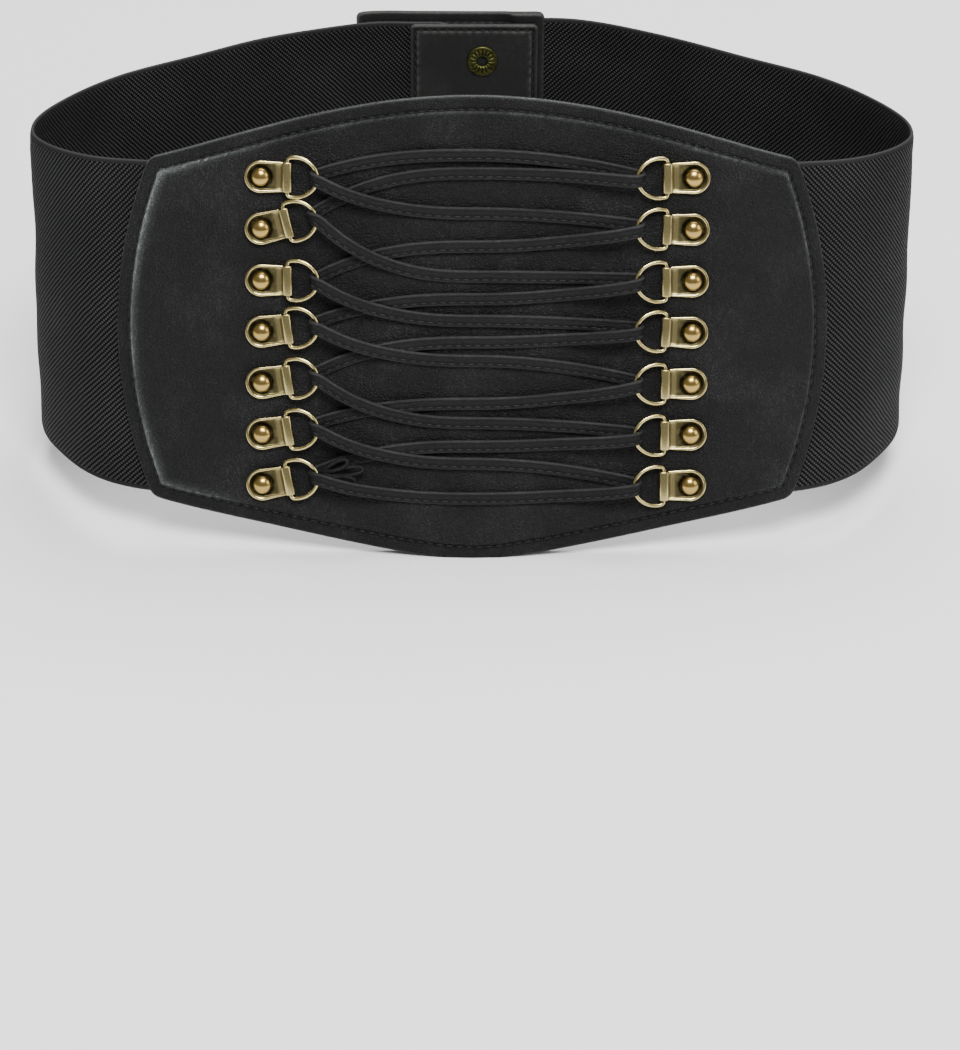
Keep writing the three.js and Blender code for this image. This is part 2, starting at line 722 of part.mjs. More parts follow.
/** The whole lace: one closed length that crosses itself between the rows. */
function laceLoop() {
  const last = hookRowCount - 1;
  const stops = [];
  const other = { left: 'right', right: 'left' };
  const crossing = (side, row) => {
    const share = side === 'left' ? laceRows[row].fromLeft : laceRows[row].fromRight;
    const ends = {
      [side]: { row, front: true },
      [other[side]]: { row: row + 1, front: false },
    };
    const run = laceRun(ends.left, ends.right, hookHeight(row) - share * hookPitch);
    return side === 'left' ? run : run.reverse();
  };
  let side = 'right';
  for (let row = 0; row < last; row += 1) {
    stops.push(...laceTurn(side, row), ...crossing(side, row));
    side = other[side];
  }
  const bottomHeight = hookHeight(last) - bottomRunDrop * hookPitch;
  const bottom = laceRun({ row: last, front: true }, { row: last, front: true }, bottomHeight);
  stops.push(...laceTurn(side, last), ...(side === 'right' ? bottom.reverse() : bottom));
  side = other[side];
  stops.push(...laceTurn(side, last).reverse());
  for (let row = last - 1; row >= 0; row -= 1) {
    side = other[side];
    stops.push(...crossing(side, row).reverse(), ...laceTurn(side, row).reverse());
  }
  const topHeight = hookHeight(0) + topRunRise * hookPitch;
  const top = laceRun({ row: 0, front: false }, { row: 0, front: false }, topHeight);
  stops.push(...(side === 'left' ? top : top.reverse()));
  const halfWidth = laceWidth / 2;
  const halfThickness = laceThickness / 2;
  return closedSweep(stops, [
    [-halfWidth, -halfThickness],
    [halfWidth, -halfThickness],
    [halfWidth, halfThickness],
    [-halfWidth, halfThickness],
  ]);
}

const belt = new THREE.Group();

/** Adds a named mesh to the belt. */
function add(name, geometry, material, matrix) {
  const mesh = new THREE.Mesh(geometry, material);
  mesh.name = name;
  if (matrix) matrix.decompose(mesh.position, mesh.quaternion, mesh.scale);
  belt.add(mesh);
}

// The floor that the belt stands on: it touches the panel's lower peak and the outer patch's lower edge
const peakHeight = panelMiddle - panelReach(0, -1);
const frontTouch = layerPoint(0, peakHeight, faceLevel);
const backTouch = layerPoint(alongBack(closureShift), -outerPatchRise, lipThickness);
frontTouch.z += frontRestFlat;
backTouch.z += backRestFlat;
const restTilt = Math.atan2(backTouch.z - frontTouch.z, backTouch.y - frontTouch.y);

/** A body cut off level with the floor. */
function cutAtFloor(geometry) {
  const size = 2 * (loopDepth + bandHeight);
  const block = new THREE.BoxGeometry(2 * loopHalfWidth, size, size)
    .translate(0, 0, -size / 2)
    .rotateX(restTilt)
    .translate(0, frontTouch.y, frontTouch.z);
  return cut(geometry, [block]);
}

add('panel_face', cutAtFloor(panelLayer(clearance / 2, faceLevel)), leather);
add('panel_lining', cutAtFloor(panelLayer(-liningLevel, -clearance / 2)), liningFilm);
add('elastic_right', elasticBand(1, 'right'), webbing);
add('elastic_left', elasticBand(-1, 'left'), webbing);
add('closure_outer_patch', cutAtFloor(outerPatch()), leather);
add('closure_inner_patch', innerPatch(), leather);

const plateGeometry = hookPlate();
const ringGeometry = hookRing();
const rivetGeometry = hookRivet();
for (const place of hookPlaces) {
  const seated = hookFrame(place, faceLevel + clearance);
  add(`hook_plate_${place.name}`, plateGeometry, brass, seated);
  add(`hook_ring_${place.name}`, ringGeometry, brass, seated);
  add(`hook_rivet_${place.name}`, rivetGeometry, brass, wallFrame(place.along, place.height, 0));
}

const capGeometry = snapCap();
const studGeometry = snapStud();
for (const { name, across, height } of snapPlaces) {
  add(`snap_cap_${name}`, capGeometry, brass, wallFrame(alongBack(across), height, 0));
}
for (const { name, across, height } of studPlaces) {
  add(`snap_stud_${name}`, studGeometry, darkBrass, wallFrame(alongBack(across), height, 0));
}

add('lace', laceLoop(), laceLeather);

// Stand the belt on its floor, with the origin under the middle of its box
belt.rotation.x = -restTilt;
belt.updateMatrixWorld(true);
const box = new THREE.Box3().setFromObject(belt, true);
const middle = box.getCenter(new THREE.Vector3());
belt.position.set(-middle.x, -middle.y, -box.min.z);
belt.updateMatrixWorld(true);

export default belt;
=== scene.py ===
"""The looks of a laced corset belt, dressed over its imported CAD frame.

Every soft piece lies on one closed wall, in three numbers: the way along the loop from the centre front
(positive towards +X), the height above the elastic's lower edge, and the offset outwards from the
elastic's middle layer. The classes hold their sizes in millimetres, and the meshes are in metres.
"""

import logging
import math
from dataclasses import dataclass, field
from enum import Enum
from functools import cached_property

import bpy
import numpy as np
from mathutils import Matrix


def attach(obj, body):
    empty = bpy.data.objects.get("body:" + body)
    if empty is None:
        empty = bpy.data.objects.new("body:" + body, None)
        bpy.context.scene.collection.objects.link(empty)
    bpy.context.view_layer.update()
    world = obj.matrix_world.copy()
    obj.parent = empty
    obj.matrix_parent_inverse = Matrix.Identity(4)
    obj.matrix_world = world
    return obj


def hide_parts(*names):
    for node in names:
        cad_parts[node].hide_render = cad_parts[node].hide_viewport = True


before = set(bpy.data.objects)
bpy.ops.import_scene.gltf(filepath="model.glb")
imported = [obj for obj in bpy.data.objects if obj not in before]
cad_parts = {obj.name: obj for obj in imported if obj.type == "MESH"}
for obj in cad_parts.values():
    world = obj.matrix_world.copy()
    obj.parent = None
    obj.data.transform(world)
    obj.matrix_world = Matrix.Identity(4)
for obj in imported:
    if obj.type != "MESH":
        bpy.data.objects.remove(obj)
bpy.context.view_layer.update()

LOG = logging.getLogger("corset_belt")
MM = 0.001
Array = np.ndarray


class Slot(Enum):
    """The record's material slots."""

    FACE = "face_leather"
    LINING = "lining_leather"
    PATCH = "patch_leather"
    LACE = "lace_leather"
    ELASTIC = "ribbed_elastic"
    BRASS = "antique_brass"
    BRONZE = "dark_bronze"


class Side(Enum):
    """A side of the belt, by the sign of its way along the loop."""

    LEFT = -1
    RIGHT = 1


def smooth(x: Array) -> Array:
    """A smooth step: 6x^5 - 15x^4 + 10x^3 on x held between 0 and 1."""
    x = np.clip(x, 0.0, 1.0)
    return x * x * x * (x * (x * 6 - 15) + 10)


def unit(v: Array) -> Array:
    """Vectors divided by their own lengths."""
    return v / np.maximum(np.linalg.norm(v, axis=-1, keepdims=True), 1e-12)


def hill(x: Array, width: float) -> Array:
    """A rounded hill of height 1 at zero: exp(-(x / width)^2)."""
    return np.exp(-((x / width) ** 2))


def graded(half: float, marks: tuple[float, ...], count: int) -> Array:
    """Stations from -half to half, close together by both ends.

    Args:
        half: half of the whole width.
        marks: distances in from each end where a station lies, from 0 up.
        count: the number of even steps between the innermost marks.

    Returns:
        The stations in rising order.
    """
    inner = half - marks[-1]
    ends = half - np.array(marks)
    middle = np.linspace(-inner, inner, count + 1)[1:-1]
    return np.concatenate([-ends, middle, ends[::-1]])


def ripple(x: Array, y: Array, pitch: float, seed: int, terms: int = 14) -> Array:
    """Smooth uneven ground between about -1 and 1.

    It is a sum of sines over the plane, each with its own seeded direction, phase and wavelength near
    pitch, divided by the square root of half their number.

    Args:
        x: the first coordinate.
        y: the second coordinate.
        pitch: the usual wavelength.
        seed: picks the directions, phases and wavelengths.
        terms: the number of sines.

    Returns:
        The height of the ground at each point.
    """
    dice = np.random.default_rng(seed)
    total = np.zeros(np.broadcast(x, y).shape)
    for angle, phase, stretch in zip(
        dice.uniform(0, math.pi, terms), dice.uniform(0, 2 * math.pi, terms), dice.uniform(0.7, 1.6, terms)
    ):
        k = 2 * math.pi / (pitch * stretch)
        total += np.sin(k * (x * math.cos(angle) + y * math.sin(angle)) + phase)
    return total / math.sqrt(terms / 2)


@dataclass(frozen=True)
class BeltWall:
    """The closed wall that all the belt's pieces lie on.

    Its plan is a closed centripetal Catmull-Rom curve through stations for one side and their mirror
    images. The lower edge stands further forward than the upper one by a share of lean.
    """

    band_height: float = 102.0
    half_width: float = 139.0
    depth: float = 138.0
    lean: float = 25.0
    tilt: float = -5.41523370521769
    shift: tuple[float, float, float] = (-0.00691, -59.8701, 14.95303)
    stations: tuple[tuple[float, float, float], ...] = (
        (0, 0, 1), (0.4, 0.006, 1), (0.727, 0.022, 0.95), (0.853, 0.05, 0.72), (0.946, 0.115, 0.32),
        (0.995, 0.195, 0.06), (0.995, 0.295, 0), (0.937, 0.435, 0), (0.826, 0.59, 0), (0.655, 0.735, 0),
        (0.45, 0.9, 0), (0.25, 0.996, 0), (0.12, 1, 0), (0, 1, 0),
    )

    def edge(self, lean_share: float, t: Array) -> Array:
        """Points of the plan curve.

        Args:
            lean_share: 0 at the upper edge and 1 at the lower one.
            t: curve parameters, one turn from 0 to 1.

        Returns:
            The x and y of each point.
        """
        rows = np.array(self.stations, float)
        half = np.stack([rows[:, 0] * self.half_width, rows[:, 1] * self.depth
                         - lean_share * rows[:, 2] * self.lean], axis=1)
        controls = np.concatenate([half, half[1:-1][::-1] * (-1, 1)])
        count = len(controls)
        place = (t % 1.0) * count
        index = np.floor(place).astype(int)
        w = (place - index)[..., None]
        p0, p1, p2, p3 = (controls[(index + k) % count] for k in (-1, 0, 1, 2))
        spans = ((p0, p1), (p1, p2), (p2, p3))
        d0, d1, d2 = (np.sum((b - a) ** 2, axis=-1, keepdims=True) ** 0.25 for a, b in spans)
        m1 = ((p1 - p0) / d0 - (p2 - p0) / (d0 + d1) + (p2 - p1) / d1) * d1
        m2 = ((p2 - p1) / d1 - (p3 - p1) / (d1 + d2) + (p3 - p2) / d2) * d1
        return (p1 + m1 * w + (3 * (p2 - p1) - 2 * m1 - m2) * w ** 2 + (2 * (p1 - p2) + m1 + m2) * w ** 3)

    @cached_property
    def table(self) -> tuple[Array, Array]:
        """Curve parameters, and the way along the middle line to each.

        Returns:
            The curve parameters, and the way along at each, in mm.
        """
        t = np.linspace(0, 1, 1601)
        line = self.edge(0.5, t)
        steps = np.linalg.norm(np.diff(line, axis=0), axis=1)
        return t, np.concatenate([[0.0], np.cumsum(steps)])

    @cached_property
    def length(self) -> float:
        """The length of the middle line, once round."""
        return float(self.table[1][-1])

    def point(self, along: Array, height: Array) -> Array:
        """Points of the middle layer, straight between the lower and upper edges.

        Args:
            along: the ways along the loop, in mm.
            height: the heights up the wall, in mm.

        Returns:
            The points, with x, y and z last.
        """
        t, lengths = self.table
        u = np.interp((along % self.length), lengths, t)
        low, high = self.edge(1, u), self.edge(0, u)
        share = (height / self.band_height)[..., None]
        return np.concatenate([low + (high - low) * share, height[..., None] * np.ones_like(share)], axis=-1)

    def axes(self, along: Array, height: Array) -> tuple[Array, Array, Array]:
        """The wall's directions at points: along the loop, up the wall and outwards.

        Args:
            along: the ways along the loop, in mm.
            height: the heights up the wall, in mm.

        Returns:
            Three unit vectors at each point.
        """
        step = 0.5
        forward = unit(self.point(along + step, height) - self.point(along - step, height))
        up = unit(self.point(along, height + step) - self.point(along, height - step))
        out = unit(np.cross(forward, up))
        return forward, np.cross(out, forward), out

    def layer(self, along: Array, height: Array, offset: Array) -> Array:
        """Points at an offset from the middle layer, in the wall's own frame."""
        along, height, offset = (np.array(v, float) for v in np.broadcast_arrays(along, height, offset))
        return self.point(along, height) + self.axes(along, height)[2] * offset[..., None]

    @cached_property
    def turn(self) -> Array:
        """The turn about X that stands the wall on its floor."""
        a = math.radians(self.tilt)
        return np.array([[1, 0, 0], [0, math.cos(a), -math.sin(a)], [0, math.sin(a), math.cos(a)]])

    def stand(self, points: Array) -> Array:
        """Points of the wall's own frame in the scene, in metres, flattened where they meet the floor.

        Args:
            points: points in the wall's own frame, in mm.

        Returns:
            The points as the belt stands, in metres.
        """
        stood = points @ self.turn.T + np.array(self.shift)
        stood[..., 2] = np.maximum(stood[..., 2], 0.0)
        return stood * MM

    def surface(self, along: Array, height: Array, offset: Array) -> Array:
        """Points at an offset from the middle layer, in the scene, in metres."""
        return self.stand(self.layer(along, height, offset))

    def seat(self, points: Array, along: float, height: float, offset: float, turn: float = 0.0) -> Array:
        """Stands a small piece on the wall, its own X along the loop and its Z outwards.

        Args:
            points: the piece's points in its own frame.
            along: the way along the loop of its origin.
            height: the height of its origin.
            offset: the offset of its origin.
            turn: its turn about its own Z, in radians.

        Returns:
            The points in the scene, in metres.
        """
        a, h = np.array([float(along)]), np.array([float(height)])
        forward, up, out = (v[0] for v in self.axes(a, h))
        c, s = math.cos(turn), math.sin(turn)
        basis = np.stack([forward * c + up * s, up * c - forward * s, out])
        return self.stand(points @ basis + self.layer(a, h, np.array([float(offset)]))[0])

    def along_back(self, across: Array) -> Array:
        """The way along the loop of a place at the back, from the centre back and positive towards +X."""
        return self.length / 2 - across


WALL = BeltWall()


@dataclass(frozen=True)
class Levels:
    """The layers' thicknesses, and the offsets that follow from them."""

    clearance: float = 0.3
    band: float = 1.6
    face_leather: float = 1.2
    lining_leather: float = 1.0
    patch_leather: float = 1.2
    lace: float = 1.5
    turn_radius: float = 2.2

    @property
    def face(self) -> float:
        """The offset of the front panel's outer surface."""
        return self.band / 2 + self.clearance + self.face_leather

    @property
    def lining(self) -> float:
        """How far in the lining's inner surface lies."""
        return self.band / 2 + self.clearance + self.lining_leather

    @property
    def lip(self) -> float:
        """The thickness of a closure patch where it holds the elastic."""
        return 2 * self.patch_leather + self.band + 2 * self.clearance

    @property
    def patch(self) -> float:
        """The thickness of a closure patch elsewhere."""
        return 2 * self.patch_leather + self.clearance

    @property
    def lace_low(self) -> float:
        """The offset of the lace's middle where it lies on the panel."""
        return self.face + self.clearance + self.lace / 2


LEVELS = Levels()


# Meshes


def quads(index: Array, wrap_rows: bool = False, wrap_columns: bool = False) -> Array:
    """The four-sided faces between the points of a numbered grid.

    Args:
        index: the points' numbers, as rows and columns.
        wrap_rows: whether the last row joins the first.
        wrap_columns: whether the last column joins the first.

    Returns:
        Four point numbers for each face.
    """
    if wrap_rows:
        index = np.concatenate([index, index[:1]], axis=0)
    if wrap_columns:
        index = np.concatenate([index, index[:, :1]], axis=1)
    corners = [index[:-1, :-1], index[1:, :-1], index[1:, 1:], index[:-1, 1:]]
    return np.stack(corners, axis=-1).reshape(-1, 4)


def is_inside_out(points: Array, faces: Array) -> bool:
    """True if a closed mesh's signed volume, summed over its faces' two triangles, is negative.

    Args:
        points: the mesh's points.
        faces: four point numbers for each face.

    Returns:
        True where the mesh has to be turned round.
    """
    a, b, c, d = (points[faces[:, k]] for k in range(4))
    volume = np.sum(a * np.cross(b, c)) + np.sum(a * np.cross(c, d))
    return bool(volume < 0)


def make_object(
    name: str, points: Array, faces: Array, uv: Array | None = None, masks: dict[str, Array] | None = None
) -> bpy.types.Object:
    """A smooth-shaded mesh object at the origin, with its place in its mesh.

    Args:
        name: the object's name.
        points: vertices, in metres.
        faces: rows of four vertex numbers; a triangle repeats its last number.
        uv: one U and V for each vertex.
        masks: named values for each vertex, for the materials.

    Returns:
        The object, linked to the scene.
    """
    if is_inside_out(points - points.mean(axis=0), faces):
        faces = faces[:, ::-1]
    rows = [list(dict.fromkeys(row)) for row in faces.tolist()]
    mesh = bpy.data.meshes.new(name)
    mesh.from_pydata(points.tolist(), [], rows)
    if uv is not None:
        order = np.empty(len(mesh.loops), dtype=np.int32)
        mesh.loops.foreach_get("vertex_index", order)
        mesh.uv_layers.new(name="UVMap").data.foreach_set("uv", uv[order].astype(np.float32).ravel())
    for key, values in (masks or {}).items():
        attribute = mesh.attributes.new(key, "FLOAT", "POINT")
        attribute.data.foreach_set("value", values.astype(np.float32).ravel())
    mesh.shade_smooth()
    mesh.update()
    obj = bpy.data.objects.new(name, mesh)
    bpy.context.scene.collection.objects.link(obj)
    return obj


def sheet_mesh(
    name: str, outer: Array, inner: Array, uv: Array | None = None, masks: dict[str, Array] | None = None
) -> bpy.types.Object:
    """A closed sheet of two grids that share the points of their common border.

    Args:
        name: the object's name.
        outer: the outer grid, rows by columns by three.
        inner: the inner grid, whose border points are left out.
        uv: U and V for each grid point, used on both grids.
        masks: named values for each grid point, used on both grids.

    Returns:
        The sheet's object.
    """
    rows, columns = outer.shape[:2]
    top = np.arange(rows * columns).reshape(rows, columns)
    low = top.copy()
    low[1:-1, 1:-1] = rows * columns + np.arange((rows - 2) * (columns - 2)).reshape(rows - 2, columns - 2)

    def both(values: Array) -> Array:
        """Grid values for the outer points and then for the inner ones.

        Args:
            values: values at the grid's points.

        Returns:
            The values in the order of the mesh's points.
        """
        flat = values.reshape(rows, columns, -1)
        width = flat.shape[-1]
        return np.concatenate([flat.reshape(-1, width), flat[1:-1, 1:-1].reshape(-1, width)])

    points = np.concatenate([outer.reshape(-1, 3), inner[1:-1, 1:-1].reshape(-1, 3)])
    faces = np.concatenate([quads(top), quads(low)[:, ::-1]])
    dressed = {key: both(values)[:, 0] for key, values in (masks or {}).items()}
    return make_object(name, points, faces, None if uv is None else both(uv), dressed)


def ring_mesh(
    name: str, grid: Array, closed: bool, uv: Array | None = None, masks: dict[str, Array] | None = None
) -> bpy.types.Object:
    """A surface made of rings, each joined to the next.

    Args:
        name: the object's name.
        grid: rings by points round each ring by three.
        closed: True joins the last ring to the first, and False closes each end with a pole.
        uv: U and V for each grid point.
        masks: named values for each grid point.

    Returns:
        The surface's object.
    """
    rings, around = grid.shape[:2]
    index = np.arange(rings * around).reshape(rings, around)
    points = grid.reshape(-1, 3)
    faces = quads(index, wrap_rows=closed, wrap_columns=True)
    extra = []
    if not closed:
        for ring, pole in ((index[0][::-1], len(points)), (index[-1], len(points) + 1)):
            fan = np.stack([ring, np.roll(ring, -1), np.full(around, pole), np.full(around, pole)], axis=1)
            faces = np.concatenate([faces, fan[:, [1, 0, 2, 3]]])
        extra = [0, -1]

    def with_poles(values: Array) -> Array:
        """Grid values, and then the mean of the first and of the last ring for the poles."""
        flat = values.reshape(rings, around, -1)
        poles = [flat[k].mean(axis=0)[None] for k in extra]
        return np.concatenate([flat.reshape(rings * around, -1), *poles])

    dressed = {key: with_poles(values)[:, 0] for key, values in (masks or {}).items()}
    return make_object(name, with_poles(grid), faces, None if uv is None else with_poles(uv), dressed)


def turned(profile: Array, sides: int) -> Array:
    """A profile of radius and height turned about Z, as rings.

    Args:
        profile: rows of radius and height.
        sides: the number of points round.

    Returns:
        A grid of points, by profile row and then round.
    """
    angle = np.linspace(0, 2 * math.pi, sides, endpoint=False)
    radius, height = profile[:, 0][:, None], profile[:, 1][:, None]
    return np.stack([radius * np.cos(angle), radius * np.sin(angle), height + 0 * angle], axis=-1)


def rounded(corners: Array, radius: float, steps: int = 3, closed: bool = False) -> Array:
    """A line with its corners cut round.

    Each corner gives way to a quadratic curve that starts and ends radius away from it, or halfway to
    its neighbour where that is nearer.

    Args:
        corners: the line's corners in the plane.
        radius: how far from a corner the curve starts.
        steps: the number of chords in each curve.
        closed: True where the line comes back to its start.

    Returns:
        The points of the rounded line.
    """
    corners = np.asarray(corners, float)
    count = len(corners)
    found = []
    for k in range(count):
        here = corners[k]
        if not closed and k in (0, count - 1):
            found.append(here[None])
            continue
        before, after = corners[k - 1] - here, corners[(k + 1) % count] - here
        reach = [min(radius, 0.5 * np.linalg.norm(v)) * unit(v) for v in (before, after)]
        t = np.linspace(0, 1, steps + 1)[:, None]
        found.append(here + reach[0] * (1 - t) ** 2 + reach[1] * t ** 2)
    return np.concatenate(found)


def sweep(points: Array, widths: Array, section: Array) -> Array:
    """A section carried round a closed path.

    Args:
        points: the path's points.
        widths: at each point, the direction that the section's first coordinate follows.
        section: the section's points, for each path point or once for all.

    Returns:
        Rings by points round each ring by three.
    """
    tangent = unit(np.roll(points, -1, axis=0) - np.roll(points, 1, axis=0))
    across = unit(widths - tangent * np.sum(widths * tangent, axis=1, keepdims=True))
    normal = np.cross(tangent, across)
    section = np.broadcast_to(section, (len(points), *section.shape[-2:]))
    return (points[:, None] + across[:, None] * section[..., :1] + normal[:, None] * section[..., 1:])


def stitches(
    name: str, centres: Array, tangents: Array, normals: Array, length: float, radius: float
) -> bpy.types.Object:
    """A row of stitches in one mesh, each a small spindle that sinks at both ends.

    A ring at share s of the half length has the radius r * sqrt(1 - s^2), and lies lower by 0.6 r s^2.

    Args:
        name: the object's name.
        centres: the middle of each stitch, in metres.
        tangents: the way that each stitch runs.
        normals: the way that each stitch stands up.
        length: a stitch's length, in millimetres.
        radius: the thread's radius, in millimetres.

    Returns:
        The object of all the stitches.
    """
    sides = 6
    share = np.array([-0.98, -0.6, 0.0, 0.6, 0.98])
    angle = np.linspace(0, 2 * math.pi, sides, endpoint=False)
    girth = radius * np.sqrt(1 - share ** 2 + 0.05)[:, None]
    template = np.stack([
        0.5 * length * share[:, None] + 0 * angle,
        girth * np.cos(angle),
        girth * np.sin(angle) - 0.6 * radius * share[:, None] ** 2,
    ], axis=-1).reshape(-1, 3) * MM
    tangents = unit(tangents)
    binormal = unit(np.cross(normals, tangents))
    normals = np.cross(tangents, binormal)
    basis = np.stack([tangents, binormal, normals], axis=1)
    points = (centres[:, None] + np.einsum("kc,ncd->nkd", template, basis)).reshape(-1, 3)
    index = np.arange(len(template)).reshape(-1, sides)
    ends = [index[0][::-1], index[-1]]
    caps = [[[end[0], end[1], end[2], end[3]], [end[0], end[3], end[4], end[5]]] for end in ends]
    faces = np.concatenate([quads(index, wrap_columns=True)[:, ::-1], np.array(caps).reshape(-1, 4)])
    every = (faces[None] + np.arange(len(centres))[:, None, None] * len(template)).reshape(-1, 4)
    return make_object(name, points, every)


def spread_along(line: Array, pitch: float) -> tuple[Array, Array, Array]:
    """Even places along a line.

    Args:
        line: the line's points.
        pitch: the distance from one place to the next.

    Returns:
        For each place, the number of the line's step that it lies on, its share of that step, and its
        distance from the line's start.
    """
    lengths = np.concatenate([[0.0], np.cumsum(np.linalg.norm(np.diff(line, axis=0), axis=1))])
    count = max(2, int(round(lengths[-1] / pitch)))
    ways = (np.arange(count) + 0.5) * lengths[-1] / count
    step = np.clip(np.searchsorted(lengths, ways) - 1, 0, len(line) - 2)
    share = (ways - lengths[step]) / np.maximum(lengths[step + 1] - lengths[step], 1e-9)
    return step, share, ways


def place_on_line(line: Array, step: Array, share: Array) -> tuple[Array, Array]:
    """The points and directions of places on a line."""
    ahead = line[step + 1] - line[step]
    return line[step] + ahead * share[:, None], unit(ahead)


def distance_to_line(points: Array, line: Array) -> tuple[Array, Array]:
    """The distance from points of the plane to a closed line, and the way along it of the nearest place.

    For every step of the line the foot of the perpendicular is held between the step's ends, and the
    nearest of all the feet counts.

    Args:
        points: the points, one per row.
        line: the line's corners, the last joined to the first.

    Returns:
        The distances, and the ways along the line.
    """
    ahead = np.roll(line, -1, axis=0) - line
    size = np.maximum(np.linalg.norm(ahead, axis=1), 1e-9)
    start = np.concatenate([[0.0], np.cumsum(size)[:-1]])
    near, way = np.empty(len(points)), np.empty(len(points))
    for block in np.array_split(np.arange(len(points)), max(1, len(points) // 2000)):
        gap = points[block][:, None] - line[None]
        share = np.clip(np.sum(gap * ahead, axis=2) / size ** 2, 0, 1)
        away = np.linalg.norm(gap - ahead * share[..., None], axis=2)
        best = np.argmin(away, axis=1)
        rows = np.arange(len(block))
        near[block] = away[rows, best]
        way[block] = start[best] + share[rows, best] * size[best]
    return near, way


# Materials


class Nodes:
    """A short hand for making and joining the nodes of one tree."""

    def __init__(self, tree: bpy.types.NodeTree) -> None:
        """Keeps the tree that the nodes go in."""
        self.tree = tree

    def add(self, kind: str, inputs: dict | None = None, **settings: object) -> bpy.types.Node:
        """Makes a node.

        Args:
            kind: the node's type name, without its ShaderNode start.
            inputs: values or sockets for its inputs, by name or number.
            settings: the node's own settings.

        Returns:
            The node.
        """
        node = self.tree.nodes.new(kind if kind.startswith("Node") else f"ShaderNode{kind}")
        for key, value in settings.items():
            setattr(node, key, value)
        for key, value in (inputs or {}).items():
            if isinstance(value, bpy.types.NodeSocket):
                self.tree.links.new(value, node.inputs[key])
            else:
                node.inputs[key].default_value = value
        return node

    def math(self, operation: str, *values: object) -> bpy.types.NodeSocket:
        """The result of a Math node on values or sockets."""
        return self.add("Math", dict(enumerate(values)), operation=operation).outputs[0]

    def mix(self, factor: object, first: object, second: object) -> bpy.types.NodeSocket:
        """A colour between two colours."""
        return self.add("Mix", {0: factor, 6: first, 7: second}, data_type="RGBA").outputs[2]

    def spread(
        self, value: object, low: float, high: float, to_low: float = 0.0, to_high: float = 1.0
    ) -> bpy.types.NodeSocket:
        """A value carried smoothly from one range to another, held at its ends."""
        inputs = {0: value, 1: low, 2: high, 3: to_low, 4: to_high}
        return self.add("MapRange", inputs, interpolation_type="SMOOTHSTEP").outputs[0]


def make_group(name: str, inputs: dict[str, tuple[str, object]], outputs: tuple[str, ...]) -> tuple:
    """Starts a shader node group.

    Args:
        name: the group's name.
        inputs: each input's socket type and value.
        outputs: the names of its outputs, all plain values.

    Returns:
        The group, its short hand, the input node and the output node.
    """
    tree = bpy.data.node_groups.new(name, "ShaderNodeTree")
    for key, (kind, value) in inputs.items():
        socket = tree.interface.new_socket(key, in_out="INPUT", socket_type=kind)
        if value is not None:
            socket.default_value = value
    for key in outputs:
        tree.interface.new_socket(key, in_out="OUTPUT", socket_type="NodeSocketFloat")
    nodes = Nodes(tree)
    return tree, nodes, nodes.add("NodeGroupInput"), nodes.add("NodeGroupOutput")


def leather_grain_group() -> bpy.types.NodeTree:
    """Pebbled grain: rounded cells with fine creases between them, and slow wrinkles under them.

    Outputs are Height, Crease, which is 1 down in a crease, Cloud, a slow unevenness, and Tip, which is 1
    on the tops of some of the pebbles.

    Returns:
        The node group.
    """
    tree, n, given, out = make_group(
        "Leather grain",
        {"Vector": ("NodeSocketVector", None), "Cell": ("NodeSocketFloat", 900.0),
         "Wrinkle": ("NodeSocketFloat", 0.5)},
        ("Height", "Crease", "Cloud", "Tip"),
    )
    vector, cell = given.outputs["Vector"], given.outputs["Cell"]
    warp = n.add("TexNoise", {"Vector": vector, "Scale": 260.0, "Detail": 2.0})
    bent = n.add("VectorMath", {0: warp.outputs["Color"], 1: (0.5, 0.5, 0.5)}, operation="SUBTRACT")
    bent = n.add("VectorMath", {0: bent.outputs[0], "Scale": 0.0009}, operation="SCALE")
    moved = n.add("VectorMath", {0: vector, 1: bent.outputs[0]}, operation="ADD").outputs[0]
    big = n.add("TexVoronoi", {"Vector": moved, "Scale": cell}, feature="SMOOTH_F1").outputs["Distance"]
    web = n.add("TexVoronoi", {"Vector": moved, "Scale": cell}, feature="DISTANCE_TO_EDGE")
    edge = web.outputs["Distance"]
    small = n.math("MULTIPLY", cell, 2.6)
    fine = n.add("TexNoise", {"Vector": vector, "Scale": small, "Detail": 3.0}).outputs["Fac"]
    slow = n.add("TexNoise", {"Vector": moved, "Scale": 95.0, "Detail": 4.0, "Roughness": 0.6}).outputs["Fac"]
    drawn = n.add("VectorMath", {0: vector, 1: (1.0, 1.0, 0.42)}, operation="MULTIPLY").outputs[0]
    fibre = n.add(
        "TexNoise", {"Vector": drawn, "Scale": 850.0, "Detail": 4.0, "Roughness": 0.7}
    ).outputs["Fac"]
    crease = n.spread(edge, 0.0, 0.16, 1.0, 0.0)
    pebble = n.math("SUBTRACT", n.spread(big, 0.0, 0.7, 1.0, 0.0), n.math("MULTIPLY", crease, 0.55))
    ground = n.math("ADD", n.math("MULTIPLY", pebble, 0.6), n.math("MULTIPLY", fine, 0.3))
    ground = n.math("ADD", ground, n.math("MULTIPLY", fibre, 1.3))
    folds = n.math("MULTIPLY", n.math("MULTIPLY", slow, given.outputs["Wrinkle"]), 3.0)
    cloud = n.add(
        "TexNoise", {"Vector": vector, "Scale": 46.0, "Detail": 4.0, "Roughness": 0.55}
    ).outputs["Fac"]
    tip = n.math("MULTIPLY", n.spread(big, 0.2, 0.65, 1.0, 0.0), n.spread(fibre, 0.46, 0.6))
    n.tree.links.new(n.math("ADD", ground, folds), out.inputs["Height"])
    n.tree.links.new(crease, out.inputs["Crease"])
    n.tree.links.new(cloud, out.inputs["Cloud"])
    n.tree.links.new(tip, out.inputs["Tip"])
    return tree


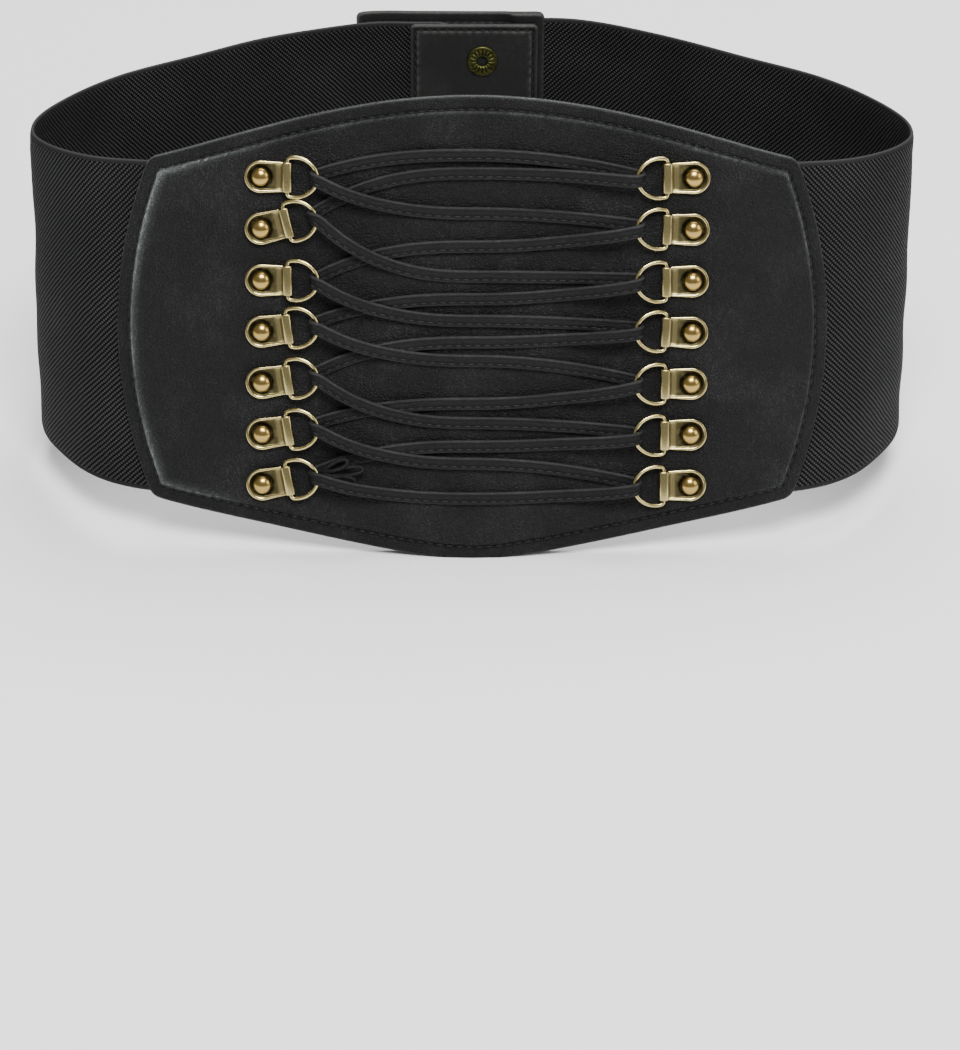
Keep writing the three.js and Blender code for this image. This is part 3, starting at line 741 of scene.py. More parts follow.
def rib_weave_group() -> bpy.types.NodeTree:
    """Ribbed elastic webbing: diagonal cords with small steps along them, on a UV map in metres.

    The ribs lie where U plus V is a whole number of pitches. Outputs are Height and Groove, which is 1
    down between two ribs.

    Returns:
        The node group.
    """
    tree, n, given, out = make_group(
        "Rib weave",
        {"UV": ("NodeSocketVector", None), "Pitch": ("NodeSocketFloat", 0.0012),
         "Selvedge": ("NodeSocketFloat", 0.0016)},
        ("Height", "Groove"),
    )
    uv = n.add("SeparateXYZ", {0: given.outputs["UV"]})
    u, v = uv.outputs[0], uv.outputs[1]
    wobble = n.add("TexNoise", {"Vector": given.outputs["UV"], "Scale": 260.0, "Detail": 1.0}).outputs["Fac"]
    wobble = n.math("MULTIPLY", n.math("SUBTRACT", wobble, 0.5), 0.35)
    across = n.math("DIVIDE", n.math("MULTIPLY", n.math("ADD", u, v), 0.7071), given.outputs["Pitch"])
    across = n.math("ADD", across, wobble)
    beside = n.math("DIVIDE", n.math("MULTIPLY", n.math("SUBTRACT", u, v), 0.7071), given.outputs["Pitch"])
    row = n.math("FLOOR", across)
    cord = n.math("ABSOLUTE", n.math("SINE", n.math("MULTIPLY", across, math.pi)))
    steps = n.math("ADD", n.math("MULTIPLY", beside, 1.3), n.math("MULTIPLY", row, 0.5))
    knots = n.math("ABSOLUTE", n.math("SINE", n.math("MULTIPLY", steps, math.pi)))
    body = n.math("MULTIPLY", n.math("POWER", cord, 0.9), n.math("ADD", n.math("MULTIPLY", knots, 0.6), 0.4))
    low = n.spread(v, 0.0, given.outputs["Selvedge"])
    high = n.spread(n.math("SUBTRACT", 0.102, v), 0.0, given.outputs["Selvedge"])
    inside = n.math("MULTIPLY", n.math("GREATER_THAN", low, 0.98), n.math("GREATER_THAN", high, 0.98))
    plain = n.math("SUBTRACT", 1.0, inside)
    height = n.math("ADD", n.math("MULTIPLY", body, inside), n.math("MULTIPLY", plain, 0.75))
    n.tree.links.new(height, out.inputs["Height"])
    # The groove mask, which the material paints dark as shade; the plain selvedge band gets 0.6 of it.
    groove = n.math("MULTIPLY", n.spread(body, 0.22, 0.85, 1.0, 0.0), inside)
    groove = n.math("ADD", groove, n.math("MULTIPLY", plain, 0.6))
    n.tree.links.new(groove, out.inputs["Groove"])
    return tree


def patina_group() -> bpy.types.NodeTree:
    """Antique metal: dark stain in the sunk places, uneven over the rest, and fine scratches.

    Outputs are Stain, from 0 for bright metal to 1 for stained, and Height.

    Returns:
        The node group.
    """
    tree, n, given, out = make_group(
        "Metal patina",
        {"Vector": ("NodeSocketVector", None), "Sunk": ("NodeSocketFloat", 0.0),
         "Amount": ("NodeSocketFloat", 0.4)},
        ("Stain", "Height"),
    )
    vector = given.outputs["Vector"]
    blot = n.add(
        "TexNoise", {"Vector": vector, "Scale": 420.0, "Detail": 4.0, "Roughness": 0.6}
    ).outputs["Fac"]
    speck = n.add("TexNoise", {"Vector": vector, "Scale": 2400.0, "Detail": 2.0}).outputs["Fac"]
    loose = n.math("MULTIPLY", n.spread(blot, 0.42, 0.72), given.outputs["Amount"])
    sunk = n.math("MULTIPLY", given.outputs["Sunk"], n.spread(blot, 0.2, 0.55, 0.75, 1.0))
    stain = n.math("MAXIMUM", loose, sunk)
    n.tree.links.new(stain, out.inputs["Stain"])
    height = n.math("ADD", n.math("MULTIPLY", speck, 0.6), n.math("MULTIPLY", blot, 0.4))
    n.tree.links.new(height, out.inputs["Height"])
    return tree


Colour = tuple[float, float, float]


@dataclass(frozen=True)
class LeatherFinish:
    """A leather's look: its colours, its gloss and the size of its grain.

    One factor says how many times paler the painted sheen on the pebble tops is, and shine is the specular level.
    """

    name: str
    slot: Slot
    base: Colour
    # The pale colour of wear and of painted highlight on lit edges.
    wear_and_highlight_colour: Colour
    roughness: float
    shine: float
    # How many times paler the painted sheen on the pebble tops is.
    painted_sheen: float
    cell: float
    grain: float
    wrinkle: float

    def build(self, grain: bpy.types.NodeTree) -> bpy.types.Material:
        """The material: painted shade in the creases, painted sheen on the pebble tops in soft clouds, pale wear and
        painted highlight by its mask, painted shade in the ditches, and grain.

        Args:
            grain: the grain's node group.

        Returns:
            The material.
        """
        material = bpy.data.materials.new(self.name)
        material.use_nodes = True
        n = Nodes(material.node_tree)
        shader = material.node_tree.nodes["Principled BSDF"]
        where = n.add("TexCoord").outputs["Object"]
        group = n.add("Group", node_tree=grain)
        n.tree.links.new(where, group.inputs["Vector"])
        group.inputs["Cell"].default_value = self.cell
        group.inputs["Wrinkle"].default_value = self.wrinkle
        height, crease, cloud, tip = (group.outputs[k] for k in ("Height", "Crease", "Cloud", "Tip"))
        wear_and_highlight = n.add("Attribute", attribute_name="wear_and_highlight").outputs["Fac"]
        ditch = n.add("Attribute", attribute_name="ditch").outputs["Fac"]
        # Painted shade: dark, the base at 0.4, is mixed into the grain's creases.
        dark = (*(0.4 * c for c in self.base), 1.0)
        # Painted sheen: pale, the base made brighter by the sheen factor, goes on the pebble tops in soft clouds.
        pale = (*(min(1.0, self.painted_sheen * c) for c in self.base), 1.0)
        soft = n.spread(cloud, 0.44, 0.64)
        tips = n.math("ADD", n.math("MULTIPLY", soft, 0.75), 0.25)
        tips = n.math("MULTIPLY", tips, n.math("ADD", n.math("MULTIPLY", tip, 0.6), 0.3))
        colour = n.mix(tips, (*self.base, 1.0), pale)
        colour = n.mix(n.math("MULTIPLY", crease, 0.6), colour, dark)
        broken = n.math("ADD", n.math("MULTIPLY", tip, 0.5), 0.5)
        # Pale wear and painted highlight: the mask, broken by the pebble tops and the clouds, mixes in the pale
        # colour.
        wear_and_highlight_share = n.math("MULTIPLY", n.math("MULTIPLY", wear_and_highlight, broken), n.spread(cloud, 0.25, 0.62, 0.45, 1.0))
        colour = n.mix(wear_and_highlight_share, colour, (*self.wear_and_highlight_colour, 1.0))
        # Painted shade: the ditch mask darkens the stitch grooves nearly to black.
        colour = n.mix(n.math("MULTIPLY", ditch, 0.9), colour, (0.0012, 0.0012, 0.0012, 1.0))
        n.tree.links.new(colour, shader.inputs["Base Color"])
        rough = n.math("ADD", n.spread(cloud, 0.3, 0.75, self.roughness - 0.07, self.roughness + 0.09),
                       n.math("MULTIPLY", crease, 0.16))
        n.tree.links.new(rough, shader.inputs["Roughness"])
        shader.inputs["Specular IOR Level"].default_value = self.shine
        bump = n.add("Bump", {"Strength": self.grain, "Distance": 0.0004, "Height": height})
        n.tree.links.new(bump.outputs[0], shader.inputs["Normal"])
        return material


@dataclass(frozen=True)
class ElasticFinish:
    """The ribbed webbing's look."""

    name: str = "Ribbed elastic"
    slot: Slot = Slot.ELASTIC
    rib: Colour = (0.033, 0.033, 0.0342)
    # Painted shade: the near-black colour in the grooves between the ribs.
    groove: Colour = (0.0008, 0.0008, 0.0009)
    roughness: float = 0.6

    def build(self, weave: bpy.types.NodeTree) -> bpy.types.Material:
        """The material: painted shade in the grooves and on the ribs' lower flanks, slightly shiny ribs, and pale
        edges of wear and painted highlight, on the piece's own UV map.

        Args:
            weave: the weave's node group.

        Returns:
            The material.
        """
        material = bpy.data.materials.new(self.name)
        material.use_nodes = True
        n = Nodes(material.node_tree)
        shader = material.node_tree.nodes["Principled BSDF"]
        group = n.add("Group", node_tree=weave)
        n.tree.links.new(n.add("UVMap", uv_map="UVMap").outputs[0], group.inputs["UV"])
        where = n.add("TexCoord").outputs["Object"]
        cloud = n.add("TexNoise", {"Vector": where, "Scale": 40.0, "Detail": 4.0}).outputs["Fac"]
        wear_and_highlight = n.add("Attribute", attribute_name="wear_and_highlight").outputs["Fac"]
        rib = n.mix(n.spread(cloud, 0.3, 0.75), (*self.rib, 1.0), (*(1.35 * c for c in self.rib), 1.0))
        # Painted shade: the ribs darken to 0.3 of their colour where their height falls.
        below = n.math("SUBTRACT", 1.0, group.outputs["Height"])
        rib = n.mix(below, rib, (*(0.3 * c for c in self.rib), 1.0))
        # Painted shade: the grooves take the near-black colour, and the plain selvedge band takes 0.6 of it.
        colour = n.mix(group.outputs["Groove"], rib, (*self.groove, 1.0))
        # Pale wear and painted highlight along both edges.
        colour = n.mix(wear_and_highlight, colour, (0.05, 0.05, 0.052, 1.0))
        n.tree.links.new(colour, shader.inputs["Base Color"])
        rough = n.math("ADD", n.math("MULTIPLY", group.outputs["Groove"], 0.3), self.roughness)
        n.tree.links.new(rough, shader.inputs["Roughness"])
        bump = n.add("Bump", {"Strength": 0.9, "Distance": 0.0005, "Height": group.outputs["Height"]})
        n.tree.links.new(bump.outputs[0], shader.inputs["Normal"])
        shader.inputs["Specular IOR Level"].default_value = 0.07
        return material


@dataclass(frozen=True)
class MetalFinish:
    """A metal's look: bright metal, its stain, and how much of it is stained."""

    name: str
    slot: Slot
    bright: Colour
    stain: Colour
    roughness: float
    amount: float

    def build(self, patina: bpy.types.NodeTree) -> bpy.types.Material:
        """The material: bright metal that stains where the mask sunk says, with fine scratches.

        Args:
            patina: the patina's node group.

        Returns:
            The material.
        """
        material = bpy.data.materials.new(self.name)
        material.use_nodes = True
        n = Nodes(material.node_tree)
        shader = material.node_tree.nodes["Principled BSDF"]
        group = n.add("Group", node_tree=patina)
        n.tree.links.new(n.add("TexCoord").outputs["Object"], group.inputs["Vector"])
        n.tree.links.new(n.add("Attribute", attribute_name="sunk").outputs["Fac"], group.inputs["Sunk"])
        group.inputs["Amount"].default_value = self.amount
        stain = group.outputs["Stain"]
        n.tree.links.new(n.mix(stain, (*self.bright, 1.0), (*self.stain, 1.0)), shader.inputs["Base Color"])
        roughness = n.spread(stain, 0.0, 1.0, self.roughness, self.roughness + 0.22)
        n.tree.links.new(roughness, shader.inputs["Roughness"])
        shader.inputs["Metallic"].default_value = 1.0
        bump = n.add("Bump", {"Strength": 0.12, "Distance": 0.0001, "Height": group.outputs["Height"]})
        n.tree.links.new(bump.outputs[0], shader.inputs["Normal"])
        return material


@dataclass(frozen=True)
class ThreadFinish:
    """The sewing thread's look."""

    name: str = "Sewing thread"
    slot: Slot = Slot.FACE
    base: Colour = (0.006, 0.006, 0.0064)

    def build(self) -> bpy.types.Material:
        """The material: dark thread, slightly uneven, with its twist as fine bands.

        Returns:
            The material.
        """
        material = bpy.data.materials.new(self.name)
        material.use_nodes = True
        n = Nodes(material.node_tree)
        shader = material.node_tree.nodes["Principled BSDF"]
        where = n.add("TexCoord").outputs["Object"]
        twist = n.add(
            "TexWave", {"Vector": where, "Scale": 900.0, "Distortion": 3.0}, bands_direction="DIAGONAL"
        )
        colour = n.mix(twist.outputs["Fac"], (*self.base, 1.0), (*(2.2 * c for c in self.base), 1.0))
        n.tree.links.new(colour, shader.inputs["Base Color"])
        shader.inputs["Roughness"].default_value = 0.5
        shader.inputs["Specular IOR Level"].default_value = 0.2
        bump = n.add("Bump", {"Strength": 0.4, "Distance": 0.0001, "Height": twist.outputs["Fac"]})
        n.tree.links.new(bump.outputs[0], shader.inputs["Normal"])
        return material


class Wardrobe:
    """Every finish of the belt, each built once."""

    def __init__(self) -> None:
        """Builds the shared groups and then the materials."""
        grain, weave, patina = leather_grain_group(), rib_weave_group(), patina_group()
        # Each leather's second colour is its pale colour of wear and painted highlight, and its factor after the shine
        # sets its painted sheen.
        leathers = {
            "face": LeatherFinish("Panel leather", Slot.FACE, (0.0045, 0.0045, 0.0048), (0.25, 0.273, 0.265),
                                  roughness=0.46, shine=0.17, painted_sheen=6.0, cell=1500.0, grain=1.0, wrinkle=0.6),
            "lining": LeatherFinish("Panel lining", Slot.LINING, (0.0035, 0.0035, 0.0038), (0.02, 0.02, 0.021),
                                    roughness=0.16, shine=0.55, painted_sheen=1.6, cell=1500.0, grain=0.14, wrinkle=0.8),
            "patch": LeatherFinish("Closure leather", Slot.PATCH, (0.0095, 0.0095, 0.0093), (0.09, 0.09, 0.086),
                                   roughness=0.5, shine=0.18, painted_sheen=2.2, cell=2100.0, grain=0.35, wrinkle=0.3),
            "lace": LeatherFinish("Lace leather", Slot.LACE, (0.0036, 0.0036, 0.004), (0.05, 0.05, 0.052),
                                  roughness=0.42, shine=0.145, painted_sheen=3.0, cell=2300.0, grain=0.45, wrinkle=0.6),
        }
        self.materials = {key: finish.build(grain) for key, finish in leathers.items()}
        self.slots = {key: finish.slot for key, finish in leathers.items()}
        elastic, thread = ElasticFinish(), ThreadFinish()
        lace_thread = ThreadFinish("Lace thread", Slot.LACE, (0.0105, 0.0105, 0.011))
        brass = MetalFinish("Antique brass", Slot.BRASS, (0.59, 0.495, 0.225), (0.022, 0.019, 0.008), 0.2, 0.4)
        gilt = MetalFinish("Rubbed brass", Slot.BRASS, (0.58, 0.405, 0.125), (0.05, 0.034, 0.012), 0.18, 0.36)
        bronze = MetalFinish("Dark bronze", Slot.BRONZE, (0.105, 0.105, 0.032), (0.006, 0.006, 0.003), 0.4, 0.8)
        for key, finish, material in (
            ("elastic", elastic, elastic.build(weave)), ("thread", thread, thread.build()),
            ("lace thread", lace_thread, lace_thread.build()), ("brass", brass, brass.build(patina)),
            ("gilt", gilt, gilt.build(patina)), ("bronze", bronze, bronze.build(patina)),
        ):
            self.materials[key], self.slots[key] = material, finish.slot

    def dress(self, obj: bpy.types.Object, finish: str, *replaced: str) -> bpy.types.Object:
        """Gives a piece its material and its body, and hides the CAD nodes that it stands for.

        Args:
            obj: the piece.
            finish: the finish's short name.
            replaced: the CAD nodes that the piece stands for, if any.

        Returns:
            The same piece.
        """
        obj.data.materials.append(self.materials[finish])
        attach(obj, "root")
        if replaced:
            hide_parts(*replaced)
        LOG.info("%s: %d faces", obj.name, len(obj.data.polygons))
        return obj


# Pieces


@dataclass(frozen=True)
class PanelOutline:
    """The front panel's outline: bowed sides, and a rounded peak above and below."""

    corner_half_width: float = 100.5
    side_bulge: float = 10.6
    corner_rise: float = 1.2
    peak_rise: float = 20.8
    peak_drop: float = 19.4
    lower_round: float = 0.14
    middle: float = 51.0
    seam_overlap: float = 12.0

    def half_width(self, up: Array) -> Array:
        """The half width at a share up: corner_half_width + side_bulge * (1 - up^2)."""
        return self.corner_half_width + self.side_bulge * (1 - up * up)

    def reach(self, across: Array, up: Array) -> Array:
        """The height from the middle to the edge: a power of a cosine above and a hyperbola below.

        Args:
            across: shares across, from -1 to 1.
            up: shares up, below 0 under the middle.

        Returns:
            The heights from the middle, in mm.
        """
        a = np.minimum(np.abs(across), 1.0)
        bend = np.hypot(a, self.lower_round) - self.lower_round
        whole = math.hypot(1, self.lower_round) - self.lower_round
        swell = np.clip(np.cos(math.pi / 2 * a), 0, 1) ** 1.1
        above = self.corner_rise + (self.peak_rise - self.corner_rise) * swell
        below = self.corner_rise + (self.peak_drop - self.corner_rise) * (1 - bend / whole)
        return self.middle + np.where(up < 0, below, above)

    def place(self, across: Array, up: Array) -> tuple[Array, Array]:
        """The way along and the height of a place, from its two shares."""
        return across * self.half_width(up), self.middle + up * self.reach(across, up)

    @property
    def seam_share(self) -> float:
        """The share across where the elastic's sewn end starts."""
        return 1 - self.seam_overlap / self.corner_half_width

    def side_along(self, height: Array, share: float | Array) -> Array:
        """The way along of the place at a height that lies at a share across."""
        up = (height - self.middle) / self.reach(share, height - self.middle)
        return share * self.half_width(up)


@dataclass
class FrontPanel:
    """The leather front panel: a stitched face with a turned border, and its glossy lining."""

    outline: PanelOutline = field(default_factory=PanelOutline)
    border: float = 4.1
    corner_radius: float = 2.4
    stitch_pitch: float = 3.1
    edge_marks: tuple[float, ...] = (
        0, 0.12, 0.35, 0.7, 1.2, 1.9, 2.7, 3.3, 3.7, 4.0, 4.25, 4.5, 4.8, 5.2, 5.8, 6.8, 8.4,
    )
    columns: int = 150
    rows: int = 84

    def grid(self) -> tuple[Array, Array, Array, Array]:
        """The way along, the height, the distance in from the outline and the way along the seam, in stitches.

        Returns:
            Four arrays of the same shape, in the order above.
        """
        wide = self.outline.corner_half_width
        across = graded(wide, self.edge_marks, self.columns) / wide
        half = self.outline.middle + self.outline.peak_rise * 0.6
        up = graded(half, self.edge_marks, self.rows) / half
        a, u = np.meshgrid(across, up, indexing="ij")
        along, height = self.outline.place(*self.rounded_corners(a, u))
        plane = np.stack([along, height], axis=-1)
        rim = np.concatenate([plane[:-1, 0], plane[-1, :-1], plane[:0:-1, -1], plane[0, :0:-1]])
        flat = plane.reshape(-1, 2)
        near, _ = distance_to_line(flat, rim)
        line = self.stitch_line(self.border)
        _, way = distance_to_line(flat, line[:-1])
        length = float(np.sum(np.linalg.norm(np.diff(line, axis=0), axis=1)))
        way = way * round(length / self.stitch_pitch) / length
        return along, height, near.reshape(a.shape), way.reshape(a.shape)

    def rounded_corners(self, across: Array, up: Array) -> tuple[Array, Array]:
        """Shares moved in by the corners, so that the outline turns there on a quarter circle.

        In a square of corner_radius at each corner, with x and y from 0 at its inner sides to 1 at the
        outline, a point goes to x * sqrt(1 - y^2 / 2) and y * sqrt(1 - x^2 / 2).

        Args:
            across: shares across, from -1 to 1.
            up: shares up, from -1 to 1.

        Returns:
            The moved shares across and up.
        """
        sizes = (self.outline.corner_half_width, self.outline.middle + self.outline.corner_rise)
        x, y = (1 - (1 - np.abs(share)) * size / self.corner_radius for share, size in zip((across, up), sizes))
        inside_x, inside_y = np.clip(x, 0, 1), np.clip(y, 0, 1)
        moved = (inside_x * (1 - np.sqrt(1 - inside_y ** 2 / 2)), inside_y * (1 - np.sqrt(1 - inside_x ** 2 / 2)))
        across, up = (np.sign(share) * (np.abs(share) - gap * self.corner_radius / size)
                      for share, gap, size in zip((across, up), moved, sizes))
        return across, up

    def face(self) -> bpy.types.Object:
        """The face: a border band with a round edge, a stitched ditch, and a puffed field.

        The field's edge is scalloped between the stitches, and low ripples run over it.

        Returns:
            The face's object.
        """
        along, height, near, way = self.grid()
        low, high = LEVELS.clearance / 2, LEVELS.face
        middle, half = (low + high) / 2, (high - low) / 2
        turn = np.sqrt(1 - (1 - np.clip(near / 0.9, 0, 1)) ** 2)
        scallop = np.abs(np.sin(math.pi * way))
        rise = smooth((near - self.border - 0.12 - 0.3 * (1 - scallop)) / 0.8)
        crown = 0.12 * np.sin(math.pi * np.clip(near / self.border, 0, 1))
        puff = rise * (0.22 + 0.33 * hill(near - self.border - 0.9, 3.2))
        ditch = 0.45 * hill(near - self.border, 0.32)
        inside = smooth((near - 8) / 14)
        waves = inside * (0.16 * ripple(along, height, 26, 4) + 0.05 * ripple(along * 0.5, height * 1.6, 9, 9))
        waves += 0.07 * hill(near - self.border - 2.0, 2.2) * ripple(way * self.stitch_pitch, near * 0.4, 9, 5)
        puff = puff + waves - 0.14 * inside
        outer = middle + half * turn + crown + puff - ditch
        inner = middle - half * turn
        beside = self.outline.half_width((height - self.outline.middle) / self.outline.middle) - np.abs(along)
        # The pale mask: wear along the field's scalloped edge, heavier on the left, and painted highlight where edges
        # face the light from above, most along the outline's rim and over the upper half.
        left, right = (smooth((sign * along - 60) / 35) * (0.3 + 0.7 * hill(beside, 9)) for sign in (-1, 1))
        over = smooth((height - self.outline.middle) / 40)
        wear_and_highlight_share = (0.2 + 0.8 * scallop) * hill(near - self.border - 0.85 + 0.35 * scallop, 0.48)
        haze = 0.3 * left * hill(near - self.border - 1.5, 1.1)
        masks = {
            "wear_and_highlight": np.clip((0.35 * over + 2.0 * left + 0.35 * right) * wear_and_highlight_share + haze
                           + (0.2 + 0.3 * over) * hill(near, 0.3), 0, 1),
            # Painted shade in the stitch groove, scalloped with the stitches; the border band outside it is darkened a
            # little too.
            "ditch": np.clip((0.35 + 0.75 * scallop) * hill(near - self.border + 0.05, 0.36)
                             + 0.3 * smooth(near / 0.8) * smooth((self.border - near) / 0.6), 0, 1),
        }
        front, back = (WALL.surface(along, height, side) for side in (outer, inner))
        return sheet_mesh("panel_face_leather", front, back, None, masks)

    def lining(self) -> bpy.types.Object:
        """The lining: smooth film with a stitched border on its inner side.

        Returns:
            The lining's object.
        """
        along, height, near, way = self.grid()
        low, high = -LEVELS.lining, -LEVELS.clearance / 2
        middle, half = (low + high) / 2, (high - low) / 2
        turn = np.sqrt(1 - (1 - np.clip(near / 0.7, 0, 1)) ** 2)
        outer = middle + half * turn
        relief = 0.3 * smooth((near - self.border) / 1.2) - 0.4 * hill(near - self.border, 0.35)
        relief = relief + 0.42 * smooth((near - 6) / 12) * ripple(along, height * 1.3, 32, 21)
        inner = middle - half * turn - relief * smooth(near / 2.0)
        # Painted highlight along the raised border and the outline's edge, and painted shade in the stitch groove.
        masks = {
            "wear_and_highlight": np.clip(0.5 * hill(near - self.border - 0.7, 0.6) + 0.5 * hill(near, 0.4), 0, 1),
            "ditch": np.clip(hill(near - self.border, 0.25), 0, 1),
        }
        front, back = (WALL.surface(along, height, side) for side in (outer, inner))
        return sheet_mesh("panel_lining_film", front, back, None, masks)

    def stitch_line(self, inset: float) -> Array:
        """The closed line that lies an inset in from the outline, as ways along and heights.

        Args:
            inset: how far in from the outline, in mm.

        Returns:
            The line's points, the last as the first.
        """
        side = np.linspace(-1, 1, 200)
        one = np.ones(200)
        shares = np.concatenate([
            np.stack([side, -one], 1)[:-1], np.stack([one, side], 1)[:-1],
            np.stack([-side, one], 1)[:-1], np.stack([-one, -side], 1)[:-1],
        ])
        along, height = self.outline.place(shares[:, 0], shares[:, 1])
        line = np.stack([along, height], axis=1)
        ahead = unit(np.roll(line, -1, axis=0) - np.roll(line, 1, axis=0))
        moved = line + inset * np.stack([-ahead[:, 1], ahead[:, 0]], axis=1)
        near, _ = distance_to_line(moved, line)
        kept = moved[near > inset * 0.97]
        return np.concatenate([kept, kept[:1]])

    def seam(self, name: str, inset: float, offset: float, outward: int) -> bpy.types.Object:
        """The row of stitches that runs round the panel.

        Args:
            name: the object's name.
            inset: how far in from the outline the row lies.
            offset: the stitches' offset from the wall's middle layer.
            outward: 1 for stitches on the outer side and -1 for the inner side.

        Returns:
            The object of the stitches.
        """
        line = self.stitch_line(inset)
        step, share, _ = spread_along(line, self.stitch_pitch)
        plane, ahead = place_on_line(line, step, share)
        centres = WALL.surface(plane[:, 0], plane[:, 1], offset)
        tips = WALL.surface(plane[:, 0] + ahead[:, 0] * 0.5, plane[:, 1] + ahead[:, 1] * 0.5, offset)
        outs = WALL.surface(plane[:, 0], plane[:, 1], offset + outward * 0.5)
        return stitches(name, centres, tips - centres, outs - centres, 0.78 * self.stitch_pitch, 0.33)

    def build(self, wardrobe: Wardrobe) -> None:
        """Makes the face, the lining and their stitches.

        Args:
            wardrobe: the finishes that dress the pieces.
        """
        wardrobe.dress(self.face(), "face", "panel_face")
        wardrobe.dress(self.lining(), "lining", "panel_lining")
        wardrobe.dress(self.seam("panel_face_stitches", self.border, LEVELS.face - 0.12, 1), "thread")
        wardrobe.dress(self.seam("panel_lining_stitches", self.border, -LEVELS.lining + 0.12, -1), "thread")


@dataclass
class Closure:
    """The two leather patches that close the belt at the centre back."""

    shift: float = -6.2
    outer_width: float = 63.0
    outer_rise: float = 2.0
    outer_corner: float = 2.0
    inner_width: float = 43.0
    inner_drop: float = 0.5
    inner_corner: float = 1.8
    inner_shift: float = 7.5
    seam: float = 10.0
    blend: float = 56.0
    outer_border: float = 2.9
    inner_border: float = 1.7
    stitch_pitch: float = 3.0

    def share(self, along: Array) -> Array:
        """How far the elastic has moved off the middle layer towards its patch, from 0 to 1."""
        from_back = WALL.length / 2 - np.abs(along)
        return 1 - smooth((from_back - (self.outer_width / 2 + np.sign(along) * self.shift)) / self.blend)

    def band_end(self, side: Side) -> float:
        """The way along at which a band ends inside its patch.

        Args:
            side: the band's side.

        Returns:
            The way along, in mm.
        """
        if side is Side.RIGHT:
            return WALL.length / 2 - (self.shift + self.outer_width / 2 - self.seam)
        return WALL.length / 2 + (self.shift + self.inner_shift - self.inner_width / 2 + self.seam)

    def patch(self, name: str, centre: float, half_width: float,
        half_height: float, corner: float, border: float,
        outside: bool) -> bpy.types.Object:
        """One patch: a two-layer leather pad with a turned, stitched border and a lip for the elastic.

        Near its edge each side is a quarter round, and the shown side has a ditch at the border.

        Args:
            name: the object's name.
            centre: the patch's middle, across from the centre back.
            half_width: half of its width.
            half_height: half of its height.
            corner: its corners' radius.
            border: how far in its stitches run.
            outside: True for the patch on the belt's outer side.

        Returns:
            The patch's object.
        """
        start = (0, 0.08, 0.22, 0.4, 0.6, 1.1)
        marks = (*start, *(border + gap for gap in (-0.3, 0, 0.25, 0.5, 0.8, 1.2, 2.0, 3.4)))
        x1 = graded(half_width, marks, 34)
        y1 = graded(half_height, marks, 58) / half_height
        x, up = np.meshgrid(x1, y1, indexing="ij")
        into = np.maximum(0, np.abs(x) - (half_width - corner))
        tall = half_height - corner + np.sqrt(np.maximum(0, corner ** 2 - into ** 2))
        y = up * tall
        near = self.depth_in(x, y, half_width, half_height, corner)
        lip_start = half_width - self.seam - 2 * LEVELS.clearance - LEVELS.patch_leather
        thick = LEVELS.patch + (LEVELS.lip - LEVELS.patch) * smooth(((x if outside else -x) - lip_start + 1.5) / 3)
        turn = np.sqrt(1 - (1 - np.clip(near / 0.55, 0, 1)) ** 2)
        way = np.where(np.abs(x) - half_width > np.abs(y) - half_height, y, x)
        scallop = np.abs(np.sin(math.pi * way / self.stitch_pitch))
        relief = (0.1 + 0.16 * scallop) * smooth((near - border - 0.1) / 0.9) - 0.42 * hill(near - border, 0.3)
        relief = relief + 0.05 * np.sin(math.pi * np.clip(near / border, 0, 1)) + 0.05 * ripple(x, y, 17, 31 + outside)
        relief = relief * smooth(near / 1.2)
        top, low = LEVELS.lip - 0.25, LEVELS.lip - thick
        middle, half = (top + low) / 2, (top - low) / 2
        shown, hidden = middle + half * turn + relief, middle - half * turn
        sign = 1 if outside else -1
        along, height = WALL.along_back(centre + x), WALL.band_height / 2 + y
        # Paler along the scalloped field edge and the outline's edge, as wear and painted highlight, and painted shade
        # in the stitch groove.
        masks = {
            "wear_and_highlight": np.clip(0.75 * scallop * hill(near - border - 0.75, 0.45) + 0.6 * hill(near - 0.2, 0.35), 0, 1),
            "ditch": np.clip(hill(near - border, 0.26), 0, 1),
        }
        grids = [WALL.surface(along, height, sign * value) for value in (shown, hidden)]
        return sheet_mesh(name, grids[0], grids[1], None, masks)

    @staticmethod
    def depth_in(x: Array, y: Array, half_width: float, half_height: float, corner: float) -> Array:
        """How far in from a rounded rectangle's edge a point lies, by the usual distance formula.

        Args:
            x: places across from the rectangle's middle.
            y: places up from its middle.
            half_width: half its width.
            half_height: half its height.
            corner: its corners' radius.

        Returns:
            The depths, in mm.
        """
        qx, qy = np.abs(x) - (half_width - corner), np.abs(y) - (half_height - corner)
        outside = np.hypot(np.maximum(qx, 0), np.maximum(qy, 0)) + np.minimum(np.maximum(qx, qy), 0)
        return np.maximum(0, corner - outside)

    def stitch_row(
        self, name: str, centre: float, corners: list[tuple[float, float]], closed: bool, offset: float
    ) -> bpy.types.Object:
        """A row of stitches on a patch.

        Args:
            name: the object's name.
            centre: the patch's middle, across from the centre back.
            corners: the row's corners, from the patch's middle.
            closed: True where the row comes back to its start.
            offset: the stitches' offset, negative for the inner side.

        Returns:
            The object of the stitches.
        """
        line = rounded(np.array(corners), 1.5, 4, closed)
        if closed:
            line = np.concatenate([line, line[:1]])
        step, share, _ = spread_along(line, self.stitch_pitch)
        plane, ahead = place_on_line(line, step, share)
        along, height = WALL.along_back(centre + plane[:, 0]), WALL.band_height / 2 + plane[:, 1]
        centres = WALL.surface(along, height, offset)
        tips = WALL.surface(along - ahead[:, 0] * 0.5, height + ahead[:, 1] * 0.5, offset)
        outs = WALL.surface(along, height, offset + math.copysign(0.5, offset))
        return stitches(name, centres, tips - centres, outs - centres, 0.76 * self.stitch_pitch, 0.3)

